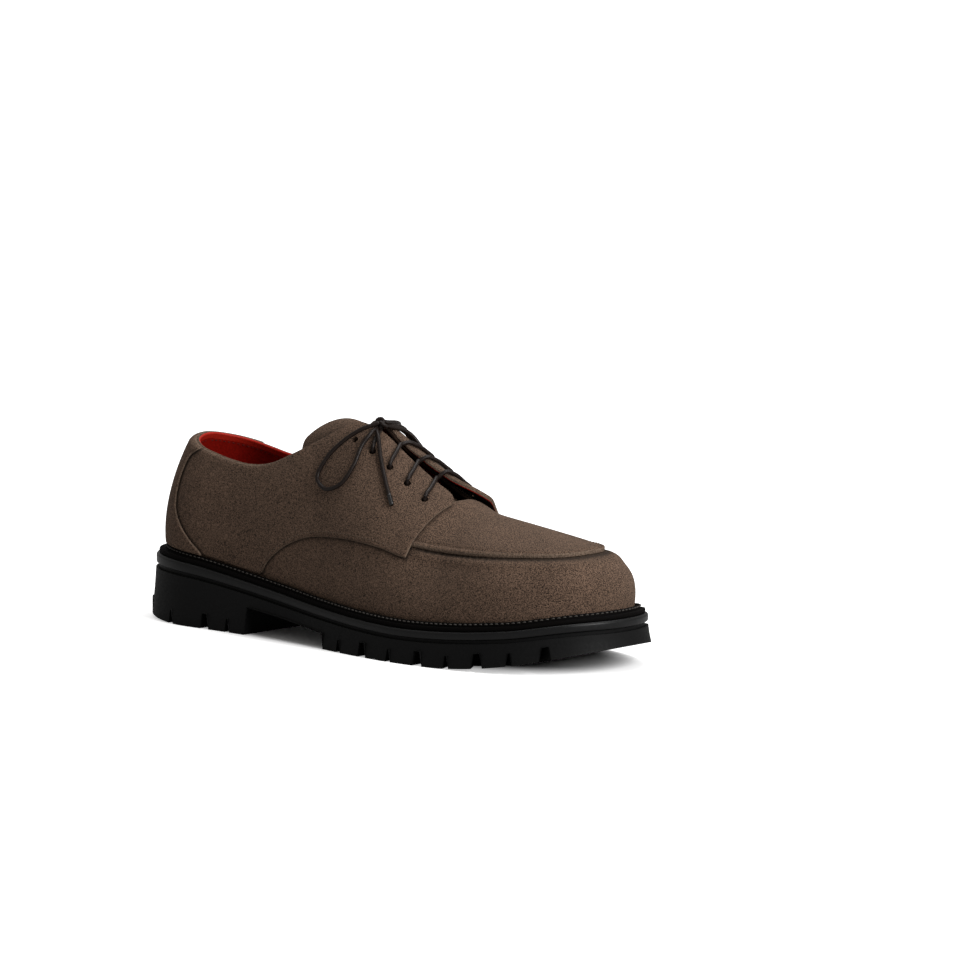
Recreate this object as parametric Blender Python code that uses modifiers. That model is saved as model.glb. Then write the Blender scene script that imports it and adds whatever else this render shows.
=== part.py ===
"""Lug sole derby, the right shoe of a pair: a hollow suede upper on a welted rubber lug sole.

The shoe points along +X with its inner side along +Y. Sizes are in millimetres from the back of the heel
until place() turns them into metres about the middle of the shoe, with the floor at zero.
"""

import math

import bmesh
import bpy
import numpy as np

NAME = "lug_sole_derby"
LATERAL = -1.0
MEDIAL = 1.0
GAP = 0.3

# Plan of the sole
LENGTH = 302.0
HEEL_CENTRE = 45.0
TOE_CENTRE = 213.0
HEEL_FULLNESS = 2.15
TOE_FULLNESS = 2.3
SWING = 5.0
SWING_START = 165.0

# Sole
HEEL_BEVEL = 3.5
HEEL_BEVEL_LENGTH = 45.0
TOE_SPRING = 13.5
TOE_SPRING_START = 215.0
SOLE_FLARE = 1.8
FLARE_TURN_HEIGHT = 0.6
FLARE_TURN_SHARE = 0.3
GROOVE_DEPTH = 1.8
BREAST_X = 86.0
ARCH_FRONT_X = 145.0
BREAST_HEIGHT = 14.6
BREAST_LEAN = 2.0
ARCH_FRONT_HEIGHT = 8.0
CHANNEL_INSET = 15.5
CHANNEL_WIDTH = 4.0
CHANNEL_DEPTH = 6.0
CROSS_GROOVE_HALF = 1.8
CROSS_GROOVE_DEPTH = 5.0
CUT_BELOW = 4.0
CUT_BESIDE = 6.0
WELT_THICKNESS = 2.0
WELT_SETBACK = 1.7
RIB_HEIGHT = 2.4
RIB_WIDTH = 1.3
RIB_START = 1.7
RIB_CLEAR = 2.7
WELT_TUCK = 4.0

# Upper
WALL = 2.0
OVERLAY_LIFT = 0.45
OVERLAY = 1.3
STRIP = 1.0
LAST_TOP_BACK = 13.0
VAMP_BACK = 201.0
FACING_FRONT = 193.5
FACING_ROUND = 7.0
FACING_SLANT = 5.0
SLANT_LENGTH = 30.0
COLLAR_END = 134.0
MEDIAL_DROP = 1.5
TONGUE_HALF = 22.0
TONGUE_FRONT = 204.0
TONGUE_EXTRA = 11.0
TONGUE_SHOULDER = 21.0
TONGUE_TAPER = 4.0
TONGUE_RISE = 2.0
TONGUE_THICKNESS = 2.2
INSOLE_THICKNESS = 2.8
INSOLE_TUCK = 4.6

# Laces
LACE_RADIUS = 1.1
EYELET_RADIUS = 2.0
EYELET_HALF = 18.0
EYELET_TAPER = 0.75
EYELET_FIRST = 187.0
EYELET_PITCH = 12.1
EYELET_PAIRS = 5
EYELET_REACH = 8.0
KNOT_STATION = 147.0
KNOT_HALF = 3.0
KNOT_LIFT = 4.4
KNOT_RADII = (3.8, 5.0, 2.6)


def table(columns, *rows):
    """A short table as one array of numbers for each named column."""
    return dict(zip(columns.split(), np.array(rows, float).T))


OUTLINE = table(
    "x lateral medial",
    (45, 37.8, 37.8),
    (79, 38.2, 36.6),
    (110, 39.6, 36.2),
    (140, 44.5, 40.0),
    (170, 50.5, 47.0),
    (195, 53.6, 52.4),
    (213, 54.0, 54.0),
)
SOLE = table(
    "x top band groove",
    (0, 34.5, 5.2, 2.6),
    (45, 32.4, 4.8, 2.4),
    (79, 28.0, 4.2, 2.2),
    (110, 23.6, 4.0, 2.1),
    (140, 20.2, 3.8, 2.0),
    (170, 18.3, 3.8, 2.0),
    (200, 17.4, 3.8, 2.0),
    (230, 18.6, 3.9, 2.0),
    (260, 21.4, 4.0, 2.1),
    (302, 27.2, 4.2, 2.2),
)
SECTIONS = table(
    "station inset wall_out wall_up crown_out crown_drop",
    (0, 9.2, 3.5, 21.0, 15.0, 22.0),
    (45, 7.8, 4.0, 20.0, 18.0, 25.0),
    (79, 7.2, 5.0, 19.5, 17.0, 27.0),
    (110, 6.8, 6.0, 20.0, 21.0, 13.0),
    (134, 6.5, 6.5, 22.0, 23.0, 3.0),
    (165, 6.2, 5.5, 22.0, 30.0, 0.5),
    (194, 6.2, 5.0, 19.5, 29.0, 2.0),
    (213, 6.2, 4.5, 18.0, 29.0, 3.0),
    (258, 7.0, 4.8, 29.0, 52.0, 13.0),
    (302, 7.6, 4.5, 31.0, 63.0, 15.0),
)
LAST_TOP = table(
    "x half height",
    (45, 13.0, 110.0),
    (79, 13.0, 110.0),
    (110, 6.0, 113.0),
    (134, 0.0, 114.5),
    (165, 0.0, 96.0),
    (194, 0.0, 79.0),
    (213, 0.0, 71.0),
)
COLLAR = table(
    "station height",
    (0, 97.0),
    (22, 95.2),
    (45, 91.0),
    (60, 88.0),
    (76, 86.5),
    (88, 89.0),
    (101, 96.2),
    (118, 106.0),
    (134, 112.0),
)
THROAT = table("x half", (134, 7.5), (150, 4.0), (170, 4.0), (201, 4.5))
QUARTER_EDGE = table(
    "station height",
    (88, 29.0),
    (94, 37.0),
    (103, 45.0),
    (118, 52.5),
    (140, 56.0),
    (155, 56.3),
    (176, 54.5),
    (194, 51.0),
)
APRON_SEAM = table("station height", (194, 57.0), (213, 56.5), (258, 55.3), (302, 55.5))
BACK_STRIP = table(
    "height station",
    (36, 49.0),
    (44, 42.0),
    (51, 36.0),
    (60, 30.5),
    (72, 29.0),
    (82, 30.0),
    (90, 33.0),
    (97, 40.0),
)
NOTCHES = table(
    "station foot crown height",
    (16.0, 5.0, 3.2, 8.0),
    (36.0, 2.4, 0.8, 7.0),
    (57.0, 5.0, 3.2, 8.0),
    (73.0, 2.4, 0.8, 7.0),
    (157.5, 2.4, 0.8, 6.5),
    (176.0, 5.0, 3.2, 7.5),
    (195.0, 2.4, 0.8, 6.5),
    (214.0, 5.0, 3.2, 7.5),
    (231.5, 2.4, 0.8, 6.5),
    (247.0, 5.0, 3.2, 7.5),
    (260.0, 2.4, 0.8, 6.5),
    (272.0, 5.0, 3.2, 7.0),
)
CROSS_GROOVES = (24.0, 46.0, 66.0, 165.0, 184.5, 203.5, 222.0, 240.0, 257.0)
LOOP = table(
    "station half lift",
    (142, 11.0, 6.0),
    (135, 16.5, 4.6),
    (127, 22.4, 4.2),
    (125, 26.3, 4.2),
    (132, 28.4, 4.2),
    (142, 28.0, 4.2),
    (146, 23.1, 4.2),
    (145.5, 16.4, 4.6),
    (146, 11.5, 6.0),
)
END = table(
    "station half lift",
    (150, 11.0, 6.0),
    (156, 15.8, 4.6),
    (166, 22.7, 4.2),
    (175, 28.3, 4.2),
)
STRAND = table(
    "share half own drop",
    (0.16, 11.5, 1, 0.0),
    (0.32, 6.5, 1, 0.0),
    (0.50, 0.01, 1, 0.3),
    (0.56, 1.6, -1, 0.5),
)
HEEL_STATIONS = (0, 9, 18, 27, 36)
SIDE_STATIONS = (45, 57, 69, 79, 90, 101, 112, 123, 134, 144, 155, 166, 177, 188, 194, 198, 205)
TOE_STATIONS = (213, 222, 231, 240, 249, 258, 267, 276, 285, 294, 302)
STATIONS = np.array(HEEL_STATIONS + SIDE_STATIONS + TOE_STATIONS, float)
RISE = np.linspace(0.0, 1.0, 401)


def smooth(columns, key, name, at):
    """A table's column at any place along its key: cubic between the rows, level at both ends."""
    x = columns[key]
    y = columns[name]
    at = np.clip(np.asarray(at, float), x[0], x[-1])
    slope = np.gradient(y, x)
    slope[[0, -1]] = 0.0
    row = np.clip(np.searchsorted(x, at, side="right") - 1, 0, len(x) - 2)
    step = x[row + 1] - x[row]
    t = (at - x[row]) / step
    rise = (3 - 2 * t) * t * t
    lead = t * (1 - t) ** 2 * step * slope[row]
    trail = t * t * (1 - t) * step * slope[row + 1]
    return y[row] + rise * (y[row + 1] - y[row]) + lead - trail


def spine(station, side):
    """Centre and outward direction of a section, square to the shoe and fanned round the heel and toe."""
    heel = np.clip(1 - station / HEEL_CENTRE, 0, 1) * math.pi / 2
    toe = np.clip((station - TOE_CENTRE) / (LENGTH - TOE_CENTRE), 0, 1) * math.pi / 2
    centre = np.clip(station, HEEL_CENTRE, TOE_CENTRE)
    return centre, np.sin(toe) - np.sin(heel), side * np.cos(heel + toe)


def reach(station, side):
    """Distance from a section's centre to the sole's edge: half the width, a superellipse at each end."""
    centre, ahead, across = spine(station, side)
    half = np.where(
        side < 0,
        smooth(OUTLINE, "x", "lateral", centre),
        smooth(OUTLINE, "x", "medial", centre),
    )
    end = np.where(ahead < 0, HEEL_CENTRE, LENGTH - TOE_CENTRE)
    power = np.where(ahead < 0, HEEL_FULLNESS, TOE_FULLNESS)
    return ((abs(across) / half) ** power + (abs(ahead) / end) ** power) ** (-1 / power)


def plan(station, side, distance):
    """Plan position at a distance from a section's centre, swung inwards towards the toe."""
    centre, ahead, across = spine(station, side)
    x = centre + ahead * distance
    turn = np.clip((x - SWING_START) / (LENGTH - SWING_START), 0, 1.1)
    return x, across * distance + SWING * turn**2


def floor(x):
    """Height of the tread's lower face: flat under heel and ball, bevelled behind and sprung at the toe."""
    back = np.clip(1 - x / HEEL_BEVEL_LENGTH, 0, 1.1)
    front = np.clip((x - TOE_SPRING_START) / (LENGTH - TOE_SPRING_START), 0, 1.1)
    return HEEL_BEVEL * back**2 + TOE_SPRING * front**2


def band_top(x):
    return smooth(SOLE, "x", "top", x)


def groove_top(x):
    return band_top(x) - smooth(SOLE, "x", "band", x)


def plate_top(x):
    return groove_top(x) - smooth(SOLE, "x", "groove", x)


def seat(x):
    """Height of the upper's feather edge, just above the welt."""
    return band_top(x) + WELT_THICKNESS + 2 * GAP


def inset(station):
    """How far the feather edge stands in from the sole's edge."""
    return smooth(SECTIONS, "station", "inset", station)


def section(station, v, side):
    """Half-width and height on the last: a cubic from the feather edge, up the wall and over to the top."""
    centre, ahead, across = spine(station, side)
    foot = reach(station, side) - inset(station)
    base = seat(plan(station, side, foot)[0])
    half = np.maximum(smooth(LAST_TOP, "x", "half", centre), 0.0)
    top = np.hypot(half * across, np.where(ahead < 0, LAST_TOP_BACK, 0.0) * ahead)
    crest = smooth(LAST_TOP, "x", "height", centre)
    out = smooth(SECTIONS, "station", "wall_out", station)
    up = smooth(SECTIONS, "station", "wall_up", station)
    crown = smooth(SECTIONS, "station", "crown_out", station)
    drop = smooth(SECTIONS, "station", "crown_drop", station)
    a = (1 - v) ** 3
    b = 3 * v * (1 - v) ** 2
    c = 3 * v**2 * (1 - v)
    d = v**3
    r = a * foot + b * (foot + out) + c * (top + crown) + d * top
    z = a * base + b * (base + up) + c * (crest - drop) + d * crest
    return r, z


def last(station, v, side):
    """Point of the last's skin."""
    r, z = section(station, v, side)
    x, y = plan(station, side, r)
    return np.stack(np.broadcast_arrays(x, y, z), -1)


def lifted(station, v, side, lift):
    """Point above the last's skin, along its normal."""
    step = 0.01
    v = np.minimum(v, 1 - step)
    along = last(station + 0.5, v, side) - last(station - 0.5, v, side)
    up = last(station, v + step, side) - last(station, v - step, side)
    normal = np.cross(along, up) * -side
    normal /= np.linalg.norm(normal, axis=-1, keepdims=True)
    return last(station, v, side) + normal * np.asarray(lift)[..., None]


def at_height(station, side, height):
    """Rise on a section, from 0 at the feather edge to 1 at the top, where it reaches a height."""
    return float(np.interp(height, section(station, RISE, side)[1], RISE))


def at_half(station, side, half):
    """Rise on a section, above its widest part, where it has come in to a half-width."""
    r = section(station, RISE, side)[0]
    start = int(np.argmax(r))
    return float(np.interp(-half, -r[start:], RISE[start:]))


def collar_height(station, side):
    """Height of the collar's edge, a little lower on the medial side."""
    along = float(np.clip(station / COLLAR_END, 0, 1))
    drop = MEDIAL_DROP * math.sin(math.pi * along) if side > 0 else 0.0
    return float(smooth(COLLAR, "station", "height", station)) - drop


def collar(station, side):
    """Rise where the upper ends: at the collar, then along the throat, and closed over the vamp."""
    if station >= VAMP_BACK:
        return 1.0
    if station <= COLLAR_END:
        return at_height(station, side, collar_height(station, side))
    return at_half(station, side, float(smooth(THROAT, "x", "half", station)))


def quarter_top(column, station, side):
    """Rise of the quarter's upper edge: the collar and throat, rounded at the front of the facing."""
    into = column - (FACING_FRONT - FACING_ROUND)
    if into <= 0:
        return collar(station, side)
    bend = FACING_ROUND - math.sqrt(max(FACING_ROUND**2 - into**2, 0.0))
    return at_half(station, side, float(smooth(THROAT, "x", "half", station)) + bend)


def rib_line(station, side):
    """Height just above the welt's rib, where the outer pieces of the upper start."""
    return float(section(station, 0.0, side)[1]) + RIB_CLEAR


def quarter_foot(station, side):
    """Rise of the quarter's lower edge: the rib line by the heel, then an arch up to the front corner."""
    line = rib_line(station, side)
    if station > QUARTER_EDGE["station"][0]:
        line = max(line, float(smooth(QUARTER_EDGE, "station", "height", station)))
    return at_height(station, side, line)


def place(points):
    """Metres about the middle of the shoe."""
    return (np.asarray(points, float) - np.array([LENGTH / 2, MIDDLE_Y, 0.0])) * 0.001


def ring(offset, height, feather=False):
    """Closed ring round the shoe, lateral side first, offset from the sole's edge or the feather edge."""
    sides = []
    for side, stations in ((LATERAL, STATIONS), (MEDIAL, STATIONS[-2:0:-1])):
        distance = reach(stations, side) + offset - feather * inset(stations)
        x, y = plan(stations, side, distance)
        sides.append(np.stack([x, y, height(x)], -1))
    return np.concatenate(sides)


EDGE_Y = [plan(STATIONS, side, reach(STATIONS, side) + SOLE_FLARE)[1] for side in (LATERAL, MEDIAL)]
MIDDLE_Y = (np.min(EDGE_Y) + np.max(EDGE_Y)) / 2

for old in list(bpy.data.objects):
    bpy.data.objects.remove(old, do_unlink=True)
shoe = bpy.data.collections.new(NAME)
cutters = bpy.data.collections.new(NAME + "_cutters")
bpy.context.scene.collection.children.link(shoe)
bpy.context.scene.collection.children.link(cutters)


def material(name, colour, roughness):
    found = bpy.data.materials.new(name)
    found.use_nodes = True
    shader = found.node_tree.nodes["Principled BSDF"]
    shader.inputs["Base Color"].default_value = (*colour, 1.0)
    shader.inputs["Roughness"].default_value = roughness
    return found


SUEDE = material("suede", (0.075, 0.050, 0.036), 0.9)
LINING = material("lining", (0.22, 0.02, 0.012), 0.55)
RUBBER = material("rubber", (0.014, 0.014, 0.014), 0.6)
WELT = material("welt", (0.010, 0.008, 0.007), 0.5)
CORD = material("cord", (0.012, 0.009, 0.008), 0.5)


def add(name, mesh, finish, group=shoe):
    """One named object from a bmesh."""
    data = bpy.data.meshes.new(name)
    mesh.to_mesh(data)
    mesh.free()
    data.materials.append(finish)
    made = bpy.data.objects.new(name, data)
    group.objects.link(made)
    if group is cutters:
        made.hide_render = True
        made.display_type = "WIRE"
    return made


def grid_mesh(grid, closed=False):
    """Open mesh of a grid of points, columns by rows, welded where its columns meet."""
    mesh = bmesh.new()
    columns, rows = grid.shape[:2]
    points = [mesh.verts.new(p) for p in place(grid).reshape(-1, 3)]
    for i in range(columns if closed else columns - 1):
        k = (i + 1) % columns
        for j in range(rows - 1):
            corners = (i * rows + j, k * rows + j, k * rows + j + 1, i * rows + j + 1)
            mesh.faces.new([points[c] for c in corners])
    bmesh.ops.remove_doubles(mesh, verts=mesh.verts, dist=1e-6)
    bmesh.ops.dissolve_degenerate(mesh, edges=mesh.edges, dist=1e-6)
    return mesh


def sheet(name, grid, lift, thickness, finish, outward=True, closed=False):
    """A leather piece: the grid moved along its normals by lift, then given its thickness by Solidify."""
    mesh = grid_mesh(grid, closed)
    mesh.normal_update()
    moved = [v.co + v.normal * lift * 0.001 for v in mesh.verts]
    for vertex, co in zip(mesh.verts, moved):
        vertex.co = co
    made = add(name, mesh, finish)
    wall = made.modifiers.new("wall", "SOLIDIFY")
    wall.thickness = thickness * 0.001
    wall.offset = 1.0 if outward else -1.0
    wall.use_even_offset = True
    return made


def plate(name, layers, finish, group=shoe):
    """A solid between stacked rings, lowest first, closed below and above by strips from side to side."""
    mesh = bmesh.new()
    loops = [[mesh.verts.new(p) for p in place(layer)] for layer in layers]
    count = len(loops[0])
    for low, high in zip(loops, loops[1:]):
        for i in range(count):
            k = (i + 1) % count
            mesh.faces.new([low[i], low[k], high[k], high[i]])
    for loop in (loops[0], loops[-1]):
        for i in range(count // 2):
            corners = [loop[i], loop[i + 1], loop[(count - i - 1) % count], loop[(count - i) % count]]
            mesh.faces.new(list(dict.fromkeys(corners)))
    bmesh.ops.recalc_face_normals(mesh, faces=mesh.faces)
    return add(name, mesh, finish, group)


def hoop(name, profile, finish, group=shoe):
    """A solid round the shoe: each ring of the profile joined to the next, and the last to the first."""
    mesh = bmesh.new()
    loops = [[mesh.verts.new(p) for p in place(layer)] for layer in profile]
    count = len(loops[0])
    for j, low in enumerate(loops):
        high = loops[(j + 1) % len(loops)]
        for i in range(count):
            k = (i + 1) % count
            mesh.faces.new([low[i], low[k], high[k], high[i]])
    bmesh.ops.recalc_face_normals(mesh, faces=mesh.faces)
    return add(name, mesh, finish, group)


def prism(mesh, foot, crown):
    """Adds a solid between two outlines with the same number of corners."""
    low = [mesh.verts.new(p) for p in place(foot)]
    high = [mesh.verts.new(p) for p in place(crown)]
    count = len(low)
    mesh.faces.new(low[::-1])
    mesh.faces.new(high)
    for i in range(count):
        k = (i + 1) % count
        mesh.faces.new([low[i], low[k], high[k], high[i]])


def ribbon(mesh, inner, outer, foot, crown):
    """Adds a solid strip between two lines in plan, from foot to crown."""
    rows = []
    for line, height in ((inner, foot), (outer, foot), (outer, crown), (inner, crown)):
        rows.append([mesh.verts.new(p) for p in place(np.column_stack([line, height]))])
    count = len(inner)
    for j in range(4):
        for i in range(count - 1):
            beside = rows[(j + 1) % 4]
            mesh.faces.new([rows[j][i], rows[j][i + 1], beside[i + 1], beside[i]])
    for i in (0, count - 1):
        mesh.faces.new([row[i] for row in rows])


def tube(mesh, points, radius, sides=8):
    """Adds a round cord along a path, with flat ends."""
    path = np.asarray(points, float)
    run = np.gradient(path, axis=0)
    run /= np.linalg.norm(run, axis=1, keepdims=True)
    side = np.cross(run[0], [0.0, 0.0, 1.0])
    if np.linalg.norm(side) < 0.1:
        side = np.cross(run[0], [0.0, 1.0, 0.0])
    rows = []
    for p, t in zip(path, run):
        side = side - t * np.dot(side, t)
        side /= np.linalg.norm(side)
        up = np.cross(t, side)
        turn = np.arange(sides) * 2 * math.pi / sides
        circle = p + radius * (np.cos(turn)[:, None] * side + np.sin(turn)[:, None] * up)
        rows.append([mesh.verts.new(q) for q in place(circle)])
    for a, b in zip(rows, rows[1:]):
        for i in range(sides):
            k = (i + 1) % sides
            mesh.faces.new([a[i], a[k], b[k], b[i]])
    mesh.faces.new(rows[0])
    mesh.faces.new(rows[-1])
    bmesh.ops.recalc_face_normals(mesh, faces=mesh.faces)


def cut(target, cutter, label):
    modifier = target.modifiers.new(label, "BOOLEAN")
    modifier.operation = "DIFFERENCE"
    modifier.solver = "EXACT"
    modifier.object = cutter


def path_through(points, count):
    """Evenly spaced points on a smooth curve through the given ones."""
    points = np.asarray(points, float)
    length = np.concatenate([[0.0], np.cumsum(np.linalg.norm(np.diff(points, axis=0), axis=1))])
    columns = {"s": length, "x": points[:, 0], "y": points[:, 1], "z": points[:, 2]}
    at = np.linspace(0, length[-1], count)
    return np.stack([smooth(columns, "s", axis, at) for axis in "xyz"], -1)


def flare_turn(x):
    """Height on the outsole's side where its flare starts."""
    return floor(x) + FLARE_TURN_HEIGHT * (plate_top(x) - floor(x))


# The outsole: a full block to the floor, then the arch, the side notches and the tread cut out of it
outsole = plate(
    "outsole",
    [
        ring(SOLE_FLARE, floor),
        ring(FLARE_TURN_SHARE * SOLE_FLARE, flare_turn),
        ring(0.0, plate_top),
        ring(-GROOVE_DEPTH, plate_top),
        ring(-GROOVE_DEPTH, lambda x: groove_top(x) - GAP),
    ],
    RUBBER,
)
arch = bmesh.new()
arch_side = [
    (BREAST_X - BREAST_LEAN / 2, -CUT_BELOW),
    (BREAST_X + BREAST_LEAN / 2, BREAST_HEIGHT),
    (ARCH_FRONT_X, ARCH_FRONT_HEIGHT),
    (ARCH_FRONT_X - BREAST_LEAN / 2, -CUT_BELOW),
]
prism(arch, [(x, -LENGTH / 3, z) for x, z in arch_side], [(x, LENGTH / 3, z) for x, z in arch_side])
bmesh.ops.recalc_face_normals(arch, faces=arch.faces)
cut(outsole, add("arch_cutter", arch, RUBBER, cutters), "arch")

notch_mesh = bmesh.new()
for station, foot, crown, height in zip(*NOTCHES.values()):
    for side in (LATERAL, MEDIAL):
        edge = reach(station, side)
        near = np.array(plan(station, side, edge + CUT_BESIDE))
        far = np.array(plan(station, side, edge - CHANNEL_INSET + 1.0))
        inward = (far - near) / np.linalg.norm(far - near)
        across = np.array([-inward[1], inward[0]])
        under = float(floor(plan(station, side, edge)[0]))
        outlines = []
        for half, z in ((foot / 2 + 0.5, under - CUT_BELOW), (crown / 2, under + height)):
            wide = across * half
            outlines.append([(*c, z) for c in (near - wide, near + wide, far + wide, far - wide)])
        prism(notch_mesh, *outlines)
bmesh.ops.recalc_face_normals(notch_mesh, faces=notch_mesh.faces)
cut(outsole, add("notch_cutter", notch_mesh, RUBBER, cutters), "notches")

channel_mesh = bmesh.new()
HEEL_RUN = np.array([70.0, 57.0, 45.0, 36.0, 27.0, 18.0, 9.0])
FORE_RUN = np.concatenate([[150.0, 160.0], STATIONS[(STATIONS > 165) & (STATIONS < 300)]])
for run, tip in ((HEEL_RUN, np.zeros(1)), (FORE_RUN, np.full(1, LENGTH))):
    lines = []
    for back in (CHANNEL_INSET + CHANNEL_WIDTH, CHANNEL_INSET):
        lateral = np.column_stack(plan(run, LATERAL, reach(run, LATERAL) - back))
        end = np.column_stack(plan(tip, LATERAL, reach(tip, LATERAL) - back))
        medial = np.column_stack(plan(run[::-1], MEDIAL, reach(run[::-1], MEDIAL) - back))
        lines.append(np.concatenate([lateral, end, medial]))
    under = floor(lines[1][:, 0])
    ribbon(channel_mesh, *lines, under - CUT_BELOW, under + CHANNEL_DEPTH)
bmesh.ops.recalc_face_normals(channel_mesh, faces=channel_mesh.faces)
cut(outsole, add("channel_cutter", channel_mesh, RUBBER, cutters), "channels")

groove_mesh = bmesh.new()
for x in CROSS_GROOVES:
    station = np.clip(x, HEEL_CENTRE, TOE_CENTRE)
    ahead = abs(x - station)
    span = LENGTH - TOE_CENTRE if x > TOE_CENTRE else HEEL_CENTRE
    narrow = math.sqrt(max(1 - (ahead / (span - CHANNEL_INSET)) ** 2, 0.0))
    half = (float(reach(station, LATERAL)) - CHANNEL_INSET - CHANNEL_WIDTH + 2.0) * narrow
    under = float(floor(x))
    back = x - CROSS_GROOVE_HALF
    front = x + CROSS_GROOVE_HALF
    box = [(back, -half), (front, -half), (front, half), (back, half)]
    foot = [(*p, under - CUT_BELOW) for p in box]
    prism(groove_mesh, foot, [(*p, under + CROSS_GROOVE_DEPTH) for p in box])
bmesh.ops.recalc_face_normals(groove_mesh, faces=groove_mesh.faces)
cut(outsole, add("groove_cutter", groove_mesh, RUBBER, cutters), "cross_grooves")

# The midsole band with its rounded top edge: each row is a setback from the sole's edge, a line and a rise
MIDSOLE_EDGE = (
    (0.6, groove_top, 0.0),
    (0.2, groove_top, 0.8),
    (0.2, band_top, -1.3),
    (0.6, band_top, -0.4),
    (1.6, band_top, 0.0),
)
plate(
    "midsole",
    [ring(-back, lambda x, line=line, rise=rise: line(x) + rise) for back, line, rise in MIDSOLE_EDGE],
    RUBBER,
)


def above_band(rise):
    """A line at a rise above the midsole's top."""
    return lambda x: band_top(x) + rise


# The welt, a strip on the midsole with its stitched rib standing against the upper
WELT_TOP = GAP + WELT_THICKNESS
RIB_TOP = WELT_THICKNESS + RIB_HEIGHT
RIB_TAPER = 0.2
hoop(
    "welt",
    [
        ring(-WELT_TUCK, above_band(GAP), feather=True),
        ring(-WELT_SETBACK, above_band(GAP)),
        ring(-WELT_SETBACK, above_band(WELT_TOP)),
        ring(RIB_START + RIB_WIDTH, above_band(WELT_TOP), feather=True),
        ring(RIB_START + RIB_WIDTH - RIB_TAPER, above_band(RIB_TOP), feather=True),
        ring(RIB_START, above_band(RIB_TOP), feather=True),
        ring(RIB_START - RIB_TAPER, above_band(WELT_TOP), feather=True),
        ring(-WELT_TUCK, above_band(WELT_TOP), feather=True),
    ],
    WELT,
)

# The insole, inside the wall
plate(
    "insole",
    [
        ring(-INSOLE_TUCK, above_band(GAP), feather=True),
        ring(-INSOLE_TUCK, above_band(INSOLE_THICKNESS), feather=True),
    ],
    LINING,
)

# The hollow upper, open at the collar, the throat and underneath
LEVELS = np.array([0.0, 0.08, 0.18, 0.3, 0.43, 0.55, 0.66, 0.77, 0.88, 1.0])
BEND_RISE = 0.55
LOOP_STATIONS = [(s, LATERAL) for s in STATIONS] + [(s, MEDIAL) for s in STATIONS[-2:0:-1]]
upper_grid = []
for station, side in LOOP_STATIONS:
    end = collar(station, side)
    share = np.clip((LEVELS - BEND_RISE) / (1 - BEND_RISE), 0, 1)
    v = np.minimum(LEVELS, BEND_RISE) + share * (end - BEND_RISE)
    upper_grid.append(last(station, v, side))
upper = sheet("upper", np.array(upper_grid), 0.0, WALL, SUEDE, outward=False, closed=True)

# The quarters, with their open facings
QUARTER_STATIONS = np.array(
    [0.25, 9, 18, 27, 36, 45, 57, 69, 79, 88, 91, 94, 98, 103, 110, 118, 126, 134, 145, 156, 167, 178]
    + [FACING_FRONT - FACING_ROUND * k for k in (1.0, 0.6, 0.3, 0.1, 0.0)]
)
QUARTER_LEVELS = np.linspace(0.0, 1.0, 8)
quarters = {}
for label, side in (("quarter_lateral", LATERAL), ("quarter_medial", MEDIAL)):
    columns = []
    for station in QUARTER_STATIONS if side < 0 else QUARTER_STATIONS[::-1]:
        lean = FACING_SLANT * np.clip(1 - (FACING_FRONT - station) / SLANT_LENGTH, 0, 1) ** 2
        column = []
        for level in QUARTER_LEVELS:
            at = station + lean * level
            low = quarter_foot(at, side)
            high = quarter_top(station, at, side)
            column.append(last(at, low + level * (high - low), side))
        columns.append(column)
    quarters[side] = sheet(label, np.array(columns), OVERLAY_LIFT, OVERLAY, SUEDE)

# The back strip over the heel seam
strip_rows = []
for share in np.linspace(0.0, 1.0, 10):
    height = BACK_STRIP["height"][0] + share * np.ptp(BACK_STRIP["height"])
    edge = float(smooth(BACK_STRIP, "height", "station", height))
    row = []
    for k in np.linspace(-1.0, 1.0, 15):
        side = MEDIAL if k < 0 else LATERAL
        station = abs(k) * edge
        low = at_height(station, side, rib_line(station, side))
        row.append(last(station, low + share * (collar(station, side) - low), side))
    strip_rows.append(row)
STRIP_LIFT = 2 * OVERLAY_LIFT + OVERLAY + GAP / 2
sheet("back_strip", np.swapaxes(np.array(strip_rows), 0, 1), STRIP_LIFT, STRIP, SUEDE)

# The apron, set on the vamp inside its raised seam
APRON_STATIONS = np.concatenate([[FACING_FRONT + 3.0, 202.0, 207.0], TOE_STATIONS])
apron_grid = []
for start, side in [(s, LATERAL) for s in APRON_STATIONS] + [(s, MEDIAL) for s in APRON_STATIONS[-2::-1]]:
    column = []
    for level in np.linspace(0, 1, 7):
        lean = FACING_SLANT * np.clip((TOE_CENTRE - start) / (TOE_CENTRE - APRON_STATIONS[0]), 0, 1)
        station = start + lean * level
        low = at_height(station, side, float(smooth(APRON_SEAM, "station", "height", station)))
        column.append(last(station, low + level * (1 - low), side))
    apron_grid.append(column)
sheet("apron", np.array(apron_grid), OVERLAY_LIFT, OVERLAY, SUEDE)

# The tongue under the facings, running on past the collar
tongue_rows = []
for along in (TONGUE_FRONT, 198.0, 188.0, 176.0, 164.0, 153.0, 143.0, 134.0, 134.0, 134.0, 134.0):
    beyond = max(len(tongue_rows) - 7, 0) / 3
    row = []
    for k in np.linspace(1.0, -1.0, 11):
        side = MEDIAL if k > 0 else LATERAL
        station = along - beyond * (TONGUE_EXTRA + TONGUE_SHOULDER * k * k)
        if abs(k) < 0.01:
            p = (last(station, 1.0, LATERAL) + last(station, 1.0, MEDIAL)) / 2
        else:
            half = abs(k) * (TONGUE_HALF - TONGUE_TAPER * beyond)
            p = last(station, at_half(station, side, half), side)
        row.append(p + np.array([0.0, 0.0, TONGUE_RISE * beyond**2 * (1 - k * k)]))
    tongue_rows.append(row)
sheet("tongue", np.array(tongue_rows), -(WALL + 4 * GAP), TONGUE_THICKNESS, SUEDE, outward=False)

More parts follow.
